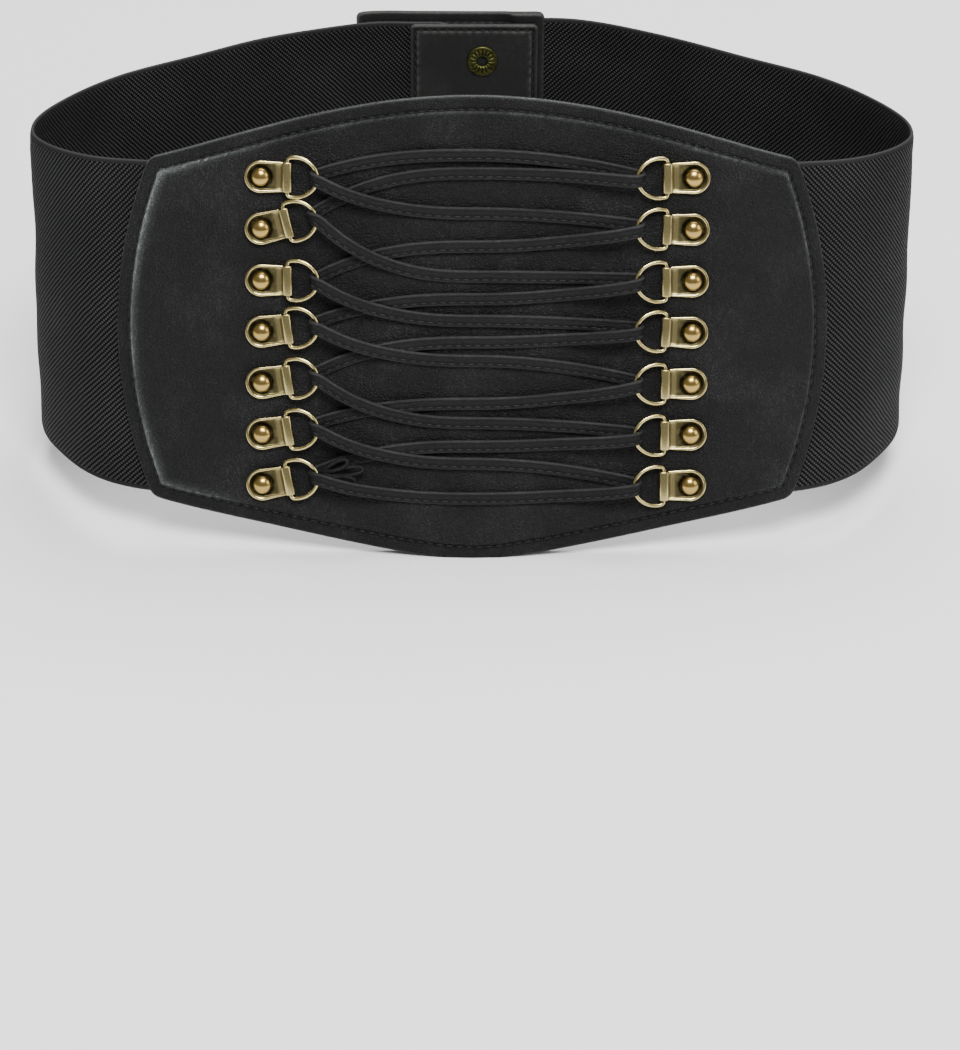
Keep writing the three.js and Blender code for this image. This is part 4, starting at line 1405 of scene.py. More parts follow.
    def build(self, wardrobe: Wardrobe) -> None:
        """Makes both patches and their stitches.

        Args:
            wardrobe: the finishes that dress the pieces.
        """
        wide, tall = self.outer_width / 2, WALL.band_height / 2 + self.outer_rise
        outer = self.patch("closure_outer_leather", self.shift, wide, tall, self.outer_corner, self.outer_border, True)
        wardrobe.dress(outer, "patch", "closure_outer_patch")
        w, t = wide - self.outer_border, tall - self.outer_border
        corners = [(-w, -t), (w, -t), (w, t), (-w, t)]
        row = self.stitch_row("closure_outer_stitches", self.shift, corners, True, LEVELS.lip - 0.3)
        wardrobe.dress(row, "thread")
        wide, tall = self.inner_width / 2, WALL.band_height / 2 - self.inner_drop
        centre = self.shift + self.inner_shift
        inner = self.patch("closure_inner_leather", centre, wide, tall, self.inner_corner, self.inner_border, False)
        wardrobe.dress(inner, "patch", "closure_inner_patch")
        w, t = wide - self.inner_border, tall - self.inner_border
        corners = [(-w, -t), (w, -t), (w, t), (-w, t)]
        row = self.stitch_row("closure_inner_stitches", centre, corners, True, -(LEVELS.lip - 0.3))
        wardrobe.dress(row, "thread")


@dataclass
class ElasticBand:
    """One ribbed elastic band, from its sewn end under the panel to its end inside a closure patch."""

    side: Side
    closure: Closure
    outline: PanelOutline = field(default_factory=PanelOutline)
    columns: int = 230
    edge_marks: tuple[float, ...] = (0, 0.25, 0.7, 1.3, 2.0, 3.5)
    rows: int = 26

    def build(self, wardrobe: Wardrobe) -> bpy.types.Object:
        """Makes the band: a sheet with soft edges, and UV in metres along the loop and up the wall.

        Args:
            wardrobe: the finishes that dress the pieces.

        Returns:
            The band's object.
        """
        name = self.side.name.lower()
        sign = self.side.value
        y = WALL.band_height / 2 + graded(WALL.band_height / 2, self.edge_marks, self.rows)
        share = np.concatenate([np.linspace(0, 1, 12)[:-1], np.linspace(1, 2, self.columns)])
        c, height = np.meshgrid(share, y, indexing="ij")
        seam = self.outline.seam_share
        front = self.outline.side_along(height, np.minimum(1, seam + c * (1 - seam)))
        start = self.outline.side_along(height, 1.0)
        end = self.closure.band_end(self.side)
        way = np.where(c <= 1, front, start + (end - start) * (c - 1))
        along = sign * way
        offset = sign * self.closure.share(along) * (LEVELS.lip / 2)
        near = np.minimum(height, WALL.band_height - height)
        ends = np.minimum(way - way[:1], way[-1:] - way)
        turn = np.sqrt(1 - (1 - np.clip(np.minimum(near, ends) / 0.8, 0, 1)) ** 2)
        half = LEVELS.band / 2 * (0.72 + 0.28 * smooth((near - 1.2) / 0.8)) * turn
        sway = 0.25 * ripple(way * 0.35, height, 30, 40 + sign) * smooth(near / 10) * smooth(ends / 20)
        outer, inner = offset + half + sway, offset - half + sway
        # Pale wear and painted highlight along the band's two edges.
        masks = {"wear_and_highlight": 0.6 * hill(near, 0.45)}
        uv = np.stack([way, height], axis=-1) * MM
        grids = [WALL.surface(along, height, value) for value in (outer, inner)]
        obj = sheet_mesh(f"elastic_{name}_webbing", grids[0], grids[1], uv, masks)
        return wardrobe.dress(obj, "elastic", f"elastic_{name}")


@dataclass(frozen=True)
class HookPlace:
    """Where a hook sits: its side, its row from the top, its rivet's place and how far it is turned up."""

    side: Side
    row: int
    along: float
    height: float
    turn: float

    @property
    def name(self) -> str:
        """The hook's name, as in the CAD nodes."""
        return f"{self.side.name.lower()}_{self.row + 1}"

    @property
    def facing(self) -> float:
        """The turn that points the hook's own X from its rivet to its ring."""
        return self.turn if self.side is Side.LEFT else math.pi - self.turn

    def onto_wall(self, x: Array, y: Array) -> tuple[Array, Array]:
        """The way along and height of points given in the hook's own X and Y."""
        c, s = math.cos(self.turn), math.sin(self.turn)
        return self.along - self.side.value * (x * c - y * s), self.height + x * s + y * c


@dataclass
class Hooks:
    """The fourteen lacing hooks: stamped plates, D-rings and domed rivets."""

    pitch: float = 15.7
    offset: float = 67.0
    shift: float = 1.3
    plate_height: float = 10.2
    plate_reach: float = 6.7
    plate_thickness: float = 0.8
    rim_width: float = 1.1
    rim_height: float = 0.6
    knuckle_length: float = 9.2
    knuckle_wall: float = 0.65
    knuckle_square: float = 3.4
    dish_radius: float = 3.65
    bend_places: tuple[float, ...] = (3.1, 2.3)
    wire: float = 0.6
    shown_wire: float = 0.68
    ring_half_height: float = 6.2
    ring_reach: float = 9.5
    head_radius: float = 2.9
    head_height: float = 2.1
    shank_radius: float = 1.5
    flange_radius: float = 3.7
    flange_height: float = 0.9
    bore_radius: float = 1.1
    turns: dict[Side, tuple[float, ...]] = field(default_factory=lambda: {
        Side.LEFT: (0, 14, 1, 8, 9, 9, 11), Side.RIGHT: (0, 2, 0, 3, 1, 0, 0),
    })

    @cached_property
    def places(self) -> list[HookPlace]:
        """The place of every hook, row by row.

        Returns:
            One place for each hook.
        """
        middle = WALL.band_height / 2
        return [
            HookPlace(side, row, self.shift + side.value * self.offset, middle + self.pitch * (3 - row),
                      math.radians(self.turns[side][row]))
            for row in range(7) for side in Side
        ]

    @property
    def bore(self) -> float:
        """The knuckle's inner radius."""
        return self.wire + LEVELS.clearance

    @property
    def knuckle_radius(self) -> float:
        """The knuckle's outer radius, which is also the height of the ring's bar."""
        return self.bore + self.knuckle_wall

    @property
    def bar(self) -> float:
        """The place of the ring's bar along the hook's own X."""
        return self.plate_reach + self.knuckle_radius

    @property
    def tip(self) -> float:
        """The place of the ring's far end along the hook's own X."""
        return self.bar + self.ring_reach

    @property
    def ring_pitch(self) -> float:
        """How far the ring is tipped up about its bar."""
        rise = LEVELS.lace_low + LEVELS.turn_radius - LEVELS.face - LEVELS.clearance - self.knuckle_radius
        return math.asin(rise / self.ring_reach)

    def plate_radius(self, angle: Array, inset: float | Array = 0.0) -> Array:
        """The plate outline's distance from the rivet in a direction.

        The outline is a circle about the rivet, two straight sides that close in towards the ring and a
        straight end. Each is a length along the ray, and they join as (sum of length^-18)^(-1/18).

        Args:
            angle: directions from the rivet.
            inset: how far in from the outline.

        Returns:
            The distances, in mm.
        """
        c, s = np.cos(angle), np.abs(np.sin(angle))
        half = self.plate_height / 2 - inset
        slope = (self.plate_height / 2 - self.knuckle_length / 2) / self.bar
        back = np.where(c < 0, half, 1e3)
        side = half / np.maximum(s + slope * c, 1e-3)
        side = np.where(c < 0, 1e3, side)
        end = np.where(c > 0, (self.bar - inset) / np.maximum(c, 1e-3), 1e3)
        return (back ** -18.0 + side ** -18.0 + end ** -18.0) ** (-1 / 18)

    def plate(self, place: HookPlace) -> bpy.types.Object:
        """The stamped plate: a raised rim round a sunk field, and a round dish about the rivet.

        Its surface is a closed profile for each direction from the rivet: out over the dish, the field and
        the rim, down the side, and back below.

        Args:
            place: the hook's place.

        Returns:
            The plate's object.
        """
        angle = np.linspace(0, 2 * math.pi, 88, endpoint=False)
        edge = self.plate_radius(angle)[None]
        low, full = self.plate_thickness, self.plate_thickness + self.rim_height
        inner = self.shank_radius + 0.05
        field_edge = edge - self.rim_width - 0.35
        share = np.linspace(0, 1, 22)[:, None]
        run = inner + (field_edge - inner) * share
        dish = -0.25 * smooth((self.dish_radius - run) / 0.5)
        ahead = run * np.cos(angle)
        bends = sum(0.17 * hill(ahead - self.bar + back, 0.24) for back in self.bend_places)
        top = [np.stack([run, low + dish + bends], axis=-1)]
        for gap, z in ((1.2, 0.25), (1.0, 0.7), (0.78, 0.95), (0.5, 1.0), (0.25, 0.93), (0.08, 0.75), (0.0, 0.45)):
            height = low + self.rim_height * z if z >= 0.7 or gap > 1 else full * z
            top.append(np.stack([edge - gap, np.full_like(edge, height)], axis=-1))
        for gap, height in ((0.0, 0.25), (0.15, 0.0), (1.5, 0.0)):
            top.append(np.stack([edge - gap, np.full_like(edge, height)], axis=-1))
        top.append(np.stack([np.full_like(edge, inner), np.zeros_like(edge)], axis=-1))
        shape = np.concatenate(top)
        x, y = shape[..., 0] * np.cos(angle), shape[..., 0] * np.sin(angle)
        points = np.stack([x, y, shape[..., 1]], axis=-1)
        tone = 0.9 + 0.25 * hill(shape[..., 0] - self.dish_radius + 0.35, 0.5) - 0.35 * hill(x - 5.6, 0.8)
        sunk = np.clip((full - shape[..., 1]) / self.rim_height * tone, 0, 1) * (shape[..., 0] < edge - 0.9)
        seat = LEVELS.face + LEVELS.clearance
        grid = WALL.seat(points.reshape(-1, 3), place.along, place.height, seat, place.facing)
        return ring_mesh(f"hook_plate_brass_{place.name}", grid.reshape(points.shape), True, None, {"sunk": sunk})

    def knuckle(self, place: HookPlace) -> bpy.types.Object:
        """The rolled tube that holds the ring's bar: a rounded rectangle turned about the bar.

        Its outside is squared: the radius is r * (|cos|^k + |sin|^k)^(-1/k), with k as knuckle_square.

        Args:
            place: the hook's place.

        Returns:
            The knuckle's object.
        """
        half, r0, r1 = self.knuckle_length / 2, self.bore, self.knuckle_radius
        profile = rounded(np.array([(r0, -half), (r1, -half), (r1, half), (r0, half)]), 0.28, 3, True)
        rings = turned(profile, 36)
        angle = np.linspace(0, 2 * math.pi, 36, endpoint=False)
        k = self.knuckle_square
        square = (np.abs(np.cos(angle)) ** k + np.abs(np.sin(angle)) ** k) ** (-1 / k)
        outside = smooth((profile[:, :1] - r0) / (r1 - r0))
        rings[..., :2] *= (1 + outside * (square - 1))[..., None]
        points = np.stack([rings[..., 0] + self.bar, rings[..., 2], rings[..., 1] + r1], axis=-1)
        seat = LEVELS.face + LEVELS.clearance
        grid = WALL.seat(points.reshape(-1, 3), place.along, place.height, seat, place.facing)
        masks = {"sunk": 0.35 * hill(np.abs(rings[..., 2]) - half, 0.4)}
        return ring_mesh(f"hook_knuckle_{place.name}", grid.reshape(points.shape), True, None, masks)

    def ring(self, place: HookPlace) -> bpy.types.Object:
        """The D-ring: round wire along an elliptic bow that a straight bar closes, tipped up about the bar.

        Args:
            place: the hook's place.

        Returns:
            The ring's object.
        """
        bow = 7.0
        centre = self.ring_reach - bow
        end = math.acos(-centre / bow)
        angle = np.linspace(-end, end, 56)
        arc = np.stack([centre + bow * np.cos(angle), self.ring_half_height * np.sin(angle), 0 * angle], axis=1)
        bar = np.linspace(arc[-1], arc[0], 14)[1:-1]
        path = np.concatenate([arc, bar])
        for _ in range(2):
            path = 0.5 * path + 0.25 * (np.roll(path, 1, axis=0) + np.roll(path, -1, axis=0))
        around = np.linspace(0, 2 * math.pi, 12, endpoint=False)
        section = self.shown_wire * np.stack([np.cos(around), np.sin(around)], axis=1)
        rings = sweep(path, np.tile([0.0, 0.0, 1.0], (len(path), 1)), section)
        c, s = math.cos(self.ring_pitch), math.sin(self.ring_pitch)
        points = np.stack([
            rings[..., 0] * c - rings[..., 2] * s + self.bar, rings[..., 1],
            rings[..., 0] * s + rings[..., 2] * c + self.knuckle_radius,
        ], axis=-1)
        seat = LEVELS.face + LEVELS.clearance
        grid = WALL.seat(points.reshape(-1, 3), place.along, place.height, seat, place.facing)
        masks = {"sunk": 0.0 * rings[..., 0]}
        return ring_mesh(f"hook_ring_brass_{place.name}", grid.reshape(points.shape), True, None, masks)

    def rivet(self, place: HookPlace) -> bpy.types.Object:
        """The rivet: a domed head, a shank through the panel and a rolled eyelet inside.

        Args:
            place: the hook's place.

        Returns:
            The rivet's object.
        """
        seat = LEVELS.face + 2 * LEVELS.clearance + self.plate_thickness
        flange = -LEVELS.lining - LEVELS.clearance
        t = np.linspace(0.03, 1, 9) * math.pi / 2
        dome = np.stack([self.head_radius * np.sin(t), seat + 0.25 + (self.head_height - 0.25) * np.cos(t)], axis=1)
        tail = rounded(np.array([
            (self.head_radius, seat + 0.1), (self.head_radius - 0.15, seat), (self.shank_radius, seat),
            (self.shank_radius, flange), (self.flange_radius, flange), (self.flange_radius - 0.3, flange - 0.45),
            ((self.flange_radius + self.bore_radius) / 2, flange - self.flange_height),
            (self.bore_radius, flange - self.flange_height / 2), (self.bore_radius * 0.95, flange + 0.4),
            (0.05, flange + 0.5),
        ]), 0.3, 2)
        profile = np.concatenate([dome, tail])
        rings = turned(profile, 32)
        sunk = np.where(profile[:, 1] > seat, 0.3 + 0.6 * smooth((profile[:, 0] - 2.2) / 0.6), 0.3)
        sunk[-3:] = 1.0
        grid = WALL.seat(rings.reshape(-1, 3), place.along, place.height, 0.0)
        masks = {"sunk": np.repeat(sunk[:, None], 32, axis=1)}
        return ring_mesh(f"hook_rivet_brass_{place.name}", grid.reshape(rings.shape), False, None, masks)

    def build(self, wardrobe: Wardrobe) -> None:
        """Makes every hook's four pieces.

        Args:
            wardrobe: the finishes that dress the pieces.
        """
        for place in self.places:
            wardrobe.dress(self.plate(place), "brass", f"hook_plate_{place.name}")
            wardrobe.dress(self.knuckle(place), "brass")
            wardrobe.dress(self.ring(place), "brass", f"hook_ring_{place.name}")
            wardrobe.dress(self.rivet(place), "gilt", f"hook_rivet_{place.name}")


@dataclass
class Snaps:
    """The press fasteners of the closure: domed caps outside, and studs with notched eyelets inside."""

    closure: Closure
    column_spacing: float = 27.0
    row_spacing: float = 36.0
    row_shift: float = 2.0
    column_shift: float = -3.2
    cap_radius: float = 6.3
    cap_height: float = 2.2
    post_radius: float = 1.5
    socket_radius: float = 4.7
    knob_radius: float = 1.9
    base_radius: float = 3.6
    eyelet_radius: float = 5.2
    bore_radius: float = 1.5
    notches: int = 16

    def places(self) -> list[tuple[str, float, float]]:
        """Each snap's name, its place across from the centre back, and its height.

        Returns:
            A name, a place across and a height for each snap.
        """
        return [
            (f"{name}_{row + 1}", self.closure.shift + self.column_shift + sign * self.column_spacing / 2,
             WALL.band_height / 2 + self.row_shift + (1 - row) * self.row_spacing)
            for row in range(3) for name, sign in (("left", -1), ("right", 1))
        ]

    def cap(self, name: str, across: float, height: float) -> bpy.types.Object:
        """A cap: a low dome with a rolled edge, its post through the patch, and the socket behind.

        Args:
            name: the end of the snap's name.
            across: its place across from the centre back.
            height: its height up the wall.

        Returns:
            The cap's object.
        """
        seat = LEVELS.lip + LEVELS.clearance / 2
        socket = LEVELS.lip - LEVELS.patch - LEVELS.clearance
        t = np.linspace(0.02, 0.86, 12) * math.pi / 2
        dome = np.stack([self.cap_radius * np.sin(t) / math.sin(t[-1]) * 0.965,
                         seat + 0.75 + (self.cap_height - 0.75) * (np.cos(t) - math.cos(t[-1]))
                         / (1 - math.cos(t[-1]))], axis=1)
        tail = rounded(np.array([
            (self.cap_radius, seat + 0.55), (self.cap_radius, seat + 0.1), (self.cap_radius * 0.95, seat),
            (self.post_radius, seat), (self.post_radius, socket), (self.socket_radius, socket),
            (self.socket_radius, LEVELS.clearance), (self.knob_radius + 0.3, LEVELS.clearance),
            (self.knob_radius + 0.3, socket - 0.3), (0.05, socket - 0.3),
        ]), 0.3, 2)
        profile = np.concatenate([dome, tail])
        rings = turned(profile, 48)
        sunk = np.where(profile[:, 1] > seat, 0.26 + 0.5 * smooth((profile[:, 0] - 5.8) / 0.4), 0.6)
        grid = WALL.seat(rings.reshape(-1, 3), float(WALL.along_back(across)), height, 0.0)
        masks = {"sunk": np.repeat(sunk[:, None], 48, axis=1)}
        return ring_mesh(f"snap_cap_brass_{name}", grid.reshape(rings.shape), False, None, masks)

    def stud(self, name: str, across: float, height: float) -> bpy.types.Object:
        """A stud: its knob, its post through the patch, and an eyelet rolled back with even notches.

        The eyelet's crown falls by 0.35 mm in each of the notches, as a power of a cosine of the angle.

        Args:
            name: the end of the snap's name.
            across: its place across from the centre back.
            height: its height up the wall.

        Returns:
            The stud's object.
        """
        knob = LEVELS.lip - LEVELS.patch - 3 * LEVELS.clearance
        base = LEVELS.patch - LEVELS.lip + LEVELS.clearance
        seat = -LEVELS.lip
        post = self.bore_radius + 0.65
        head = rounded(np.array([
            (0.05, knob), (self.knob_radius, knob), (self.knob_radius, base + 0.3), (self.base_radius, base + 0.3),
            (self.base_radius, base), (post, base), (post, seat), (self.eyelet_radius, seat - 0.05),
        ]), 0.3, 2)
        crown = np.array([
            (5.2, -0.25), (5.15, -0.5), (4.95, -0.72), (4.65, -0.78), (4.3, -0.66), (3.9, -0.78), (3.4, -0.95),
            (2.9, -1.02), (2.4, -0.98), (2.0, -0.8), (1.75, -0.5), (1.6, 0.0), (1.5, 0.6),
        ]) + (0, seat)
        profile = np.concatenate([head, crown, [(1.4, seat + 2.0), (0.05, seat + 2.05)]])
        sides = 96
        rings = turned(profile, sides)
        angle = np.linspace(0, 2 * math.pi, sides, endpoint=False)
        radius = profile[:, 0][:, None]
        on_eyelet = (np.arange(len(profile)) >= len(head))[:, None]
        on_crown = on_eyelet * smooth((radius - 1.9) / 0.4) * smooth((4.45 - radius) / 0.3)
        notch = on_crown * np.abs(np.cos(angle * self.notches / 2)) ** 6
        rings[..., 2] += 0.35 * notch
        sunk = np.clip(notch + 0.25 + (radius < 1.75) * 0.75, 0, 1) * np.ones_like(angle)
        grid = WALL.seat(rings.reshape(-1, 3), float(WALL.along_back(across)), height, 0.0)
        return ring_mesh(f"snap_stud_bronze_{name}", grid.reshape(rings.shape), False, None, {"sunk": sunk})

    def build(self, wardrobe: Wardrobe) -> None:
        """Makes the caps and the studs.

        Args:
            wardrobe: the finishes that dress the pieces.
        """
        for name, across, height in self.places():
            wardrobe.dress(self.cap(name, across, height), "gilt", f"snap_cap_{name}")
            if name.startswith("right"):
                wardrobe.dress(self.stud(name, across, height), "bronze", f"snap_stud_{name}")


@dataclass
class Lace:
    """The flat leather lace: a folded strap, stitched along its lower side, that crosses from hook to hook."""

    hooks: Hooks
    width: float = 4.0
    lift_length: float = 30.0
    arrive_up: float = 0.9
    leave_down: float = 0.6
    stitch_pitch: float = 3.0
    from_left: tuple[float, ...] = (0.67, 0.89, 0.75, 0.53, 0.75, 0.55)
    from_right: tuple[float, ...] = (-0.1, 0.31, 0.33, 0.17, 0.37, 0.21)
    top_rise: float = 0.45
    bottom_drop: float = 0.24

    def hook_at(self, side: Side, row: int) -> HookPlace:
        """The hook of a side and row."""
        return next(p for p in self.hooks.places if p.side is side and p.row == row)

    def turn(self, side: Side, row: int) -> tuple[Array, Array]:
        """One turn of the lace round a ring's bow, from behind it to its front, as points and widths.

        Args:
            side: the side that the hook is on.
            row: the hook's row, from 0 at the top.

        Returns:
            The points, and the direction of the strap's width at each.
        """
        hook = self.hook_at(side, row)
        angle = np.linspace(-math.pi / 2, math.pi / 2, 15)
        up = np.linspace(self.arrive_up, -self.leave_down, 15)
        along, height = hook.onto_wall(self.hooks.tip - LEVELS.turn_radius * np.cos(angle), up)
        offset = LEVELS.lace_low + LEVELS.turn_radius * (1 + np.sin(angle))
        forward, rise, _ = WALL.axes(along, height)
        tilt = -side.value * hook.turn
        return WALL.layer(along, height, offset), rise * math.cos(tilt) - forward * math.sin(tilt)

    def run(self, left: tuple[int, bool], right: tuple[int, bool], middle: float) -> tuple[Array, Array]:
        """One run from a left ring to a right one.

        It falls fast beside the left hook and then lies nearly level, and it comes down from a ring's
        front to the panel over the lift length.

        Args:
            left: the left hook's row, and True where the lace leaves by the ring's front.
            right: the right hook's row, and the same.
            middle: the run's height at the centre front.

        Returns:
            The run's points and widths.
        """
        ends = []
        for side, (row, front) in ((Side.LEFT, left), (Side.RIGHT, right)):
            up = -self.leave_down if front else self.arrive_up
            along, height = self.hook_at(side, row).onto_wall(np.array(self.hooks.tip), np.array(up))
            ends.append((float(along), float(height)))
        (left_along, left_height), (right_along, right_height) = ends
        share = 0.5 * (1 - np.cos(np.linspace(0, math.pi, 46)))
        along = left_along + 2.2 + (right_along - left_along - 4.4) * share
        fall = np.where(
            along < 0,
            left_height + (middle - left_height) * (1 - np.abs(along / left_along) ** 2.6),
            right_height + (middle - right_height) * (1 - np.abs(along / right_along) ** 2),
        )
        lifts = [front * (1 - smooth(gap / self.lift_length))
                 for front, gap in ((left[1], along - left_along), (right[1], right_along - along))]
        offset = LEVELS.lace_low + 2 * LEVELS.turn_radius * np.maximum(*lifts)
        return WALL.layer(along, fall, offset), WALL.axes(along, fall)[1]

    @cached_property
    def path(self) -> tuple[Array, Array]:
        """The whole closed path, evenly spaced and eased at its joins, as points and widths.

        Returns:
            The points, and the direction of the strap's width at each.
        """
        last = 6
        middle = WALL.band_height / 2
        height_of = lambda row: middle + self.hooks.pitch * (3 - row)
        parts: list[tuple[Array, Array]] = []

        def flipped(part: tuple[Array, Array]) -> tuple[Array, Array]:
            """The same part the other way round."""
            return part[0][::-1], part[1][::-1]

        def crossing(side: Side, row: int) -> tuple[Array, Array]:
            """The run that leaves a hook by its front for the row below on the other side.

            Args:
                side: the side that the hook is on.
                row: the hook's row, from 0 at the top.

            Returns:
                The points and widths of the run.
            """
            share = (self.from_left if side is Side.LEFT else self.from_right)[row]
            ends = {side: (row, True), other[side]: (row + 1, False)}
            part = self.run(ends[Side.LEFT], ends[Side.RIGHT], height_of(row) - share * self.hooks.pitch)
            return part if side is Side.LEFT else flipped(part)

        other = {Side.LEFT: Side.RIGHT, Side.RIGHT: Side.LEFT}
        side = Side.RIGHT
        for row in range(last):
            parts += [self.turn(side, row), crossing(side, row)]
            side = other[side]
        bottom = self.run((last, True), (last, True), height_of(last) - self.bottom_drop * self.hooks.pitch)
        parts += [self.turn(side, last), flipped(bottom) if side is Side.RIGHT else bottom]
        side = other[side]
        parts.append(flipped(self.turn(side, last)))
        for row in range(last - 1, -1, -1):
            side = other[side]
            parts += [flipped(crossing(side, row)), flipped(self.turn(side, row))]
        top = self.run((0, False), (0, False), height_of(0) + self.top_rise * self.hooks.pitch)
        parts.append(top if side is Side.LEFT else flipped(top))
        points, widths = (np.concatenate([part[k] for part in parts]) for k in (0, 1))
        return self.evened(points, widths)

    @staticmethod
    def evened(points: Array, widths: Array, step: float = 0.9) -> tuple[Array, Array]:
        """A closed path with even steps, its corners eased by averaging neighbours a few times.

        Args:
            points: the path's points.
            widths: the direction of the strap's width at each.
            step: the distance between two points, in mm.

        Returns:
            The new points and widths.
        """
        closed = np.concatenate([points, points[:1]])
        lengths = np.concatenate([[0.0], np.cumsum(np.linalg.norm(np.diff(closed, axis=0), axis=1))])
        count = int(lengths[-1] / step)
        ways = np.arange(count) * lengths[-1] / count
        ring = np.concatenate([widths, widths[:1]])
        values = np.concatenate([closed, ring], axis=1)
        even = np.stack([np.interp(ways, lengths, values[:, k]) for k in range(6)], axis=1)
        for _ in range(3):
            even = 0.5 * even + 0.25 * (np.roll(even, 1, axis=0) + np.roll(even, -1, axis=0))
        return even[:, :3], unit(even[:, 3:])

    def section(self) -> tuple[Array, Array]:
        """The strap's section and its painted highlight mask: a fat fold above, a thin stitched flange below.

        The half thickness at x, from -1 below to 1 above, is a rounded end times a level with a hill at the
        fold, less a ditch at the stitches and a faint one under the fold.

        Returns:
            The section's points, and the mask at each.
        """
        x = np.cos(np.linspace(0, math.pi, 25))
        half = LEVELS.lace / 2
        level = 0.66 + 0.34 * hill(x - 0.74, 0.3) + 0.1 * hill(x, 0.4)
        thick = half * level * np.sqrt(1 - x ** 2 * 0.97) ** 0.6
        thick = thick - 0.2 * hill(x + 0.5, 0.13) - 0.1 * hill(x - 0.36, 0.1)
        upper = np.stack([self.width / 2 * x, thick], axis=1)
        lower = np.stack([self.width / 2 * x[1:-1][::-1], -thick[1:-1][::-1]], axis=1)
        section = np.concatenate([upper, lower])
        place = section[:, 0] / (self.width / 2)
        # Painted highlight along the fold's upper edge, and fainter along the lower edge.
        return section, np.clip(0.9 * hill(place - 0.84, 0.17) + 0.45 * hill(place + 0.9, 0.12), 0, 1)

    def build(self, wardrobe: Wardrobe) -> None:
        """Makes the strap and its stitches.

        Args:
            wardrobe: the finishes that dress the pieces.
        """
        points, widths = self.path
        section, wear_and_highlight = self.section()
        grid = WALL.stand(sweep(points, widths, section))
        fold_highlights = np.broadcast_to(wear_and_highlight, grid.shape[:2])
        # Painted shade: the ditch mask darkens the stitch groove on the flange.
        ditch = hill(section[:, 0] / 2 + 0.5, 0.1) * 0.8
        masks = {"wear_and_highlight": fold_highlights, "ditch": np.broadcast_to(ditch, grid.shape[:2])}
        strap = ring_mesh("lace_strap", grid, True, None, masks)
        wardrobe.dress(strap, "lace", "lace")
        total = float(np.sum(np.linalg.norm(np.roll(points, -1, axis=0) - points, axis=1)))
        LOG.info("lace length: %.0f mm", total)
        closed = np.concatenate([points, points[:1]])
        step, share, _ = spread_along(closed, self.stitch_pitch)
        centre, ahead = place_on_line(closed, step, share)
        across = unit(widths[step] - ahead * np.sum(widths[step] * ahead, axis=1, keepdims=True))
        normal = np.cross(ahead, across)
        rows = []
        for sign in (1, -1):
            at = centre - across * (0.25 * self.width) + sign * normal * 0.42
            rows.append((WALL.stand(at), ahead @ WALL.turn.T, sign * normal @ WALL.turn.T))
        centres, tangents, normals = (np.concatenate([row[k] for row in rows]) for k in range(3))
        row = stitches("lace_stitches", centres, tangents, normals, 0.68 * self.stitch_pitch, 0.23)
        wardrobe.dress(row, "lace thread")


@dataclass
class LaceTails:
    """The lace's ends, tucked beside the lowest left ring as small loops of narrow strap.

    Each row holds a loop's start beside the ring's tip, its start above the hook's rivet, its length and
    its turn up from level in degrees.
    """

    lace: Lace
    loops: tuple[tuple[float, float, float, float], ...] = (
        (1.4, 3.6, 12.5, 9.0), (1.9, 2.3, 9.5, -4.0), (1.2, 4.6, 8.5, 24.0),
    )
    half_spread: float = 0.8
    strap: tuple[float, float] = (0.5, 0.66)

    def loop(self, number: int, start: float, rise: float, length: float, turn: float) -> bpy.types.Object:
        """One loop: a teardrop, with x = length (1 - cos t) / 2 and y = spread * sin t * sin(t / 2).

        Args:
            number: the loop's number.
            start: how far its point lies beside the ring's tip.
            rise: how far its point lies above the rivet.
            length: its length.
            turn: its turn up from level, in degrees.

        Returns:
            The loop's object.
        """
        hook = self.lace.hook_at(Side.LEFT, 6)
        t = np.linspace(0, 2 * math.pi, 49)[:-1]
        x = length * (1 - np.cos(t)) / 2
        y = 2 * self.half_spread * np.sin(t) * np.sin(t / 2)
        a = math.radians(turn)
        along = hook.along + self.lace.hooks.tip + start + x * math.cos(a) - y * math.sin(a)
        height = hook.height + rise + x * math.sin(a) + y * math.cos(a)
        low = LEVELS.lace_low + LEVELS.lace / 2 + LEVELS.clearance + self.strap[0]
        offset = low + 0.25 * number * smooth(x / 3) + 0.3 * np.sin(t / 2)
        path = WALL.layer(along, height, offset)
        around = np.linspace(0, 2 * math.pi, 12, endpoint=False)
        section = np.stack([self.strap[0] * np.cos(around), self.strap[1] * np.sin(around)], axis=1)
        grid = WALL.stand(sweep(path, WALL.axes(along, height)[2], section))
        # Painted highlight on one side of each loop's strap.
        wear_and_highlight = np.broadcast_to(0.2 * np.clip(np.cos(around), 0, 1) ** 4, grid.shape[:2])
        return ring_mesh(f"lace_tail_{number + 1}", grid, True, None, {"wear_and_highlight": wear_and_highlight, "ditch": 0 * wear_and_highlight})

    def build(self, wardrobe: Wardrobe) -> None:
        """Makes every loop."""
        for number, row in enumerate(self.loops):
            wardrobe.dress(self.loop(number, *row), "lace")


# The studio


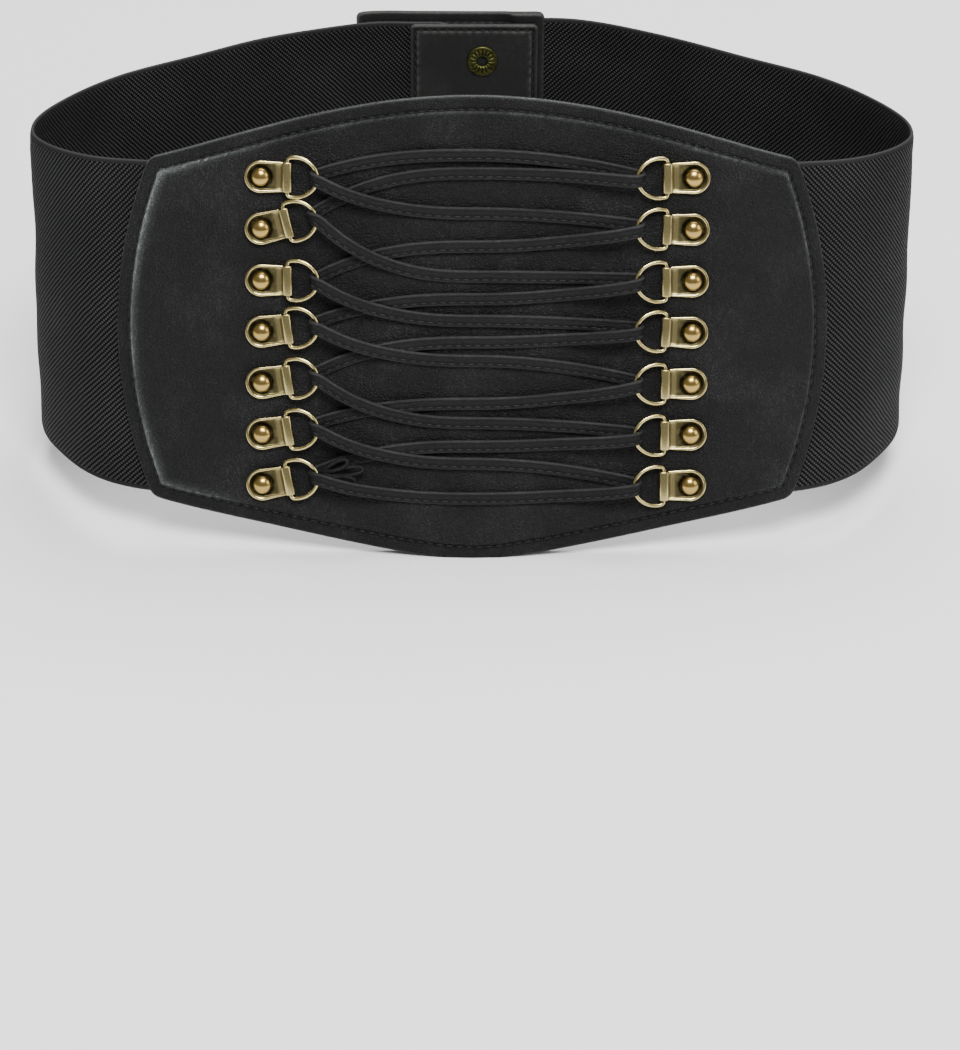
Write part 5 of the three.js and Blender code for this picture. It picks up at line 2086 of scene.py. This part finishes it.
@dataclass(frozen=True)
class Studio:
    """A pale floor, soft lights, and the camera at the photograph's viewing angle."""

    azimuth: float = -0.7393
    elevation: float = 30.8776
    distance: float = 1400.0
    focal: float = 4305.18
    target: tuple[float, float, float] = (0.0, 0.0, 70.0)
    target_pixel: tuple[float, float] = (471.29, 224.95)
    roll: float = 0.4916
    frame_size: tuple[int, int] = (960, 1050)

    def camera(self) -> None:
        """Sets the camera so that the target falls on its pixel."""
        a, e, r = (math.radians(v) for v in (self.azimuth, self.elevation, self.roll))
        back = np.array([math.sin(a) * math.cos(e), -math.cos(a) * math.cos(e), math.sin(e)])
        right = np.array([math.cos(a), math.sin(a), 0.0])
        up = np.cross(back, right)
        right, up = right * math.cos(r) + up * math.sin(r), up * math.cos(r) - right * math.sin(r)
        wide, tall = self.frame_size
        dx = (self.target_pixel[0] - wide / 2) / self.focal * self.distance
        dy = -(self.target_pixel[1] - tall / 2) / self.focal * self.distance
        eye = (np.array(self.target) + back * self.distance - right * dx - up * dy) * MM
        data = bpy.data.cameras.new("Camera")
        data.lens = self.focal * 36.0 / tall
        data.sensor_width = 36.0
        data.clip_end = 50.0
        camera = bpy.data.objects.new("Camera", data)
        columns = [(*right, 0), (*up, 0), (*back, 0), (*eye, 1)]
        camera.matrix_world = Matrix([tuple(float(v) for v in row) for row in zip(*columns)])
        bpy.context.scene.collection.objects.link(camera)
        bpy.context.scene.camera = camera

    def light(self, name: str, place: tuple[float, float, float], size: float, power: float) -> None:
        """A soft square light at a place in metres, turned towards the belt.

        Args:
            name: the light's name.
            place: its place in metres.
            size: its side in metres.
            power: its power in watts.
        """
        data = bpy.data.lights.new(name, "AREA")
        data.size, data.energy = size, power
        lamp = bpy.data.objects.new(name, data)
        back = unit(np.array(place) - np.array([0, 0, 0.06]))
        right = unit(np.cross([0.0, 0.0, 1.0], back))
        up = np.cross(back, right)
        columns = [(*right, 0), (*up, 0), (*back, 0), (*place, 1)]
        lamp.matrix_world = Matrix([tuple(float(v) for v in row) for row in zip(*columns)])
        bpy.context.scene.collection.objects.link(lamp)

    def floor(self) -> None:
        """A wide pale floor, faintly uneven in tone."""
        reach = 6.0
        mesh = bpy.data.meshes.new("floor")
        corners = [(-reach, -reach, 0), (reach, -reach, 0), (reach, reach, 0), (-reach, reach, 0)]
        mesh.from_pydata(corners, [], [(0, 1, 2, 3)])
        obj = bpy.data.objects.new("floor", mesh)
        material = bpy.data.materials.new("Pale floor")
        material.use_nodes = True
        n = Nodes(material.node_tree)
        shader = material.node_tree.nodes["Principled BSDF"]
        cloud = n.add("TexNoise", {"Vector": n.add("TexCoord").outputs["Object"], "Scale": 3.0}).outputs["Fac"]
        n.tree.links.new(n.mix(cloud, (0.86, 0.86, 0.86, 1), (0.9, 0.9, 0.9, 1)), shader.inputs["Base Color"])
        shader.inputs["Roughness"].default_value = 0.9
        shader.inputs["Specular IOR Level"].default_value = 0.1
        obj.data.materials.append(material)
        bpy.context.scene.collection.objects.link(obj)

    def world(self, strength: float) -> None:
        """An even pale surrounding.

        Args:
            strength: how bright the surrounding is.
        """
        world = bpy.data.worlds.new("Studio")
        world.use_nodes = True
        world.node_tree.nodes["Background"].inputs["Color"].default_value = (1, 1, 1, 1)
        world.node_tree.nodes["Background"].inputs["Strength"].default_value = strength
        bpy.context.scene.world = world

    def build(self) -> None:
        """Sets up the whole studio."""
        self.camera()
        self.floor()
        self.world(0.3)
        self.light("Key", (0.1, -1.25, 2.0), 0.9, 80)
        self.light("Fill", (1.5, -0.8, 0.9), 1.0, 9)
        self.light("Top", (0.2, 0.8, 1.7), 1.2, 40)


def main() -> None:
    """Builds the studio and the belt, piece by piece."""
    logging.basicConfig(level=logging.INFO, format="%(message)s")
    Studio().build()
    wardrobe = Wardrobe()
    closure = Closure()
    FrontPanel().build(wardrobe)
    for side in Side:
        ElasticBand(side, closure).build(wardrobe)
    closure.build(wardrobe)
    hooks = Hooks()
    hooks.build(wardrobe)
    Snaps(closure).build(wardrobe)
    lace = Lace(hooks)
    lace.build(wardrobe)
    LaceTails(lace).build(wardrobe)


if __name__ == "__main__":
    main()
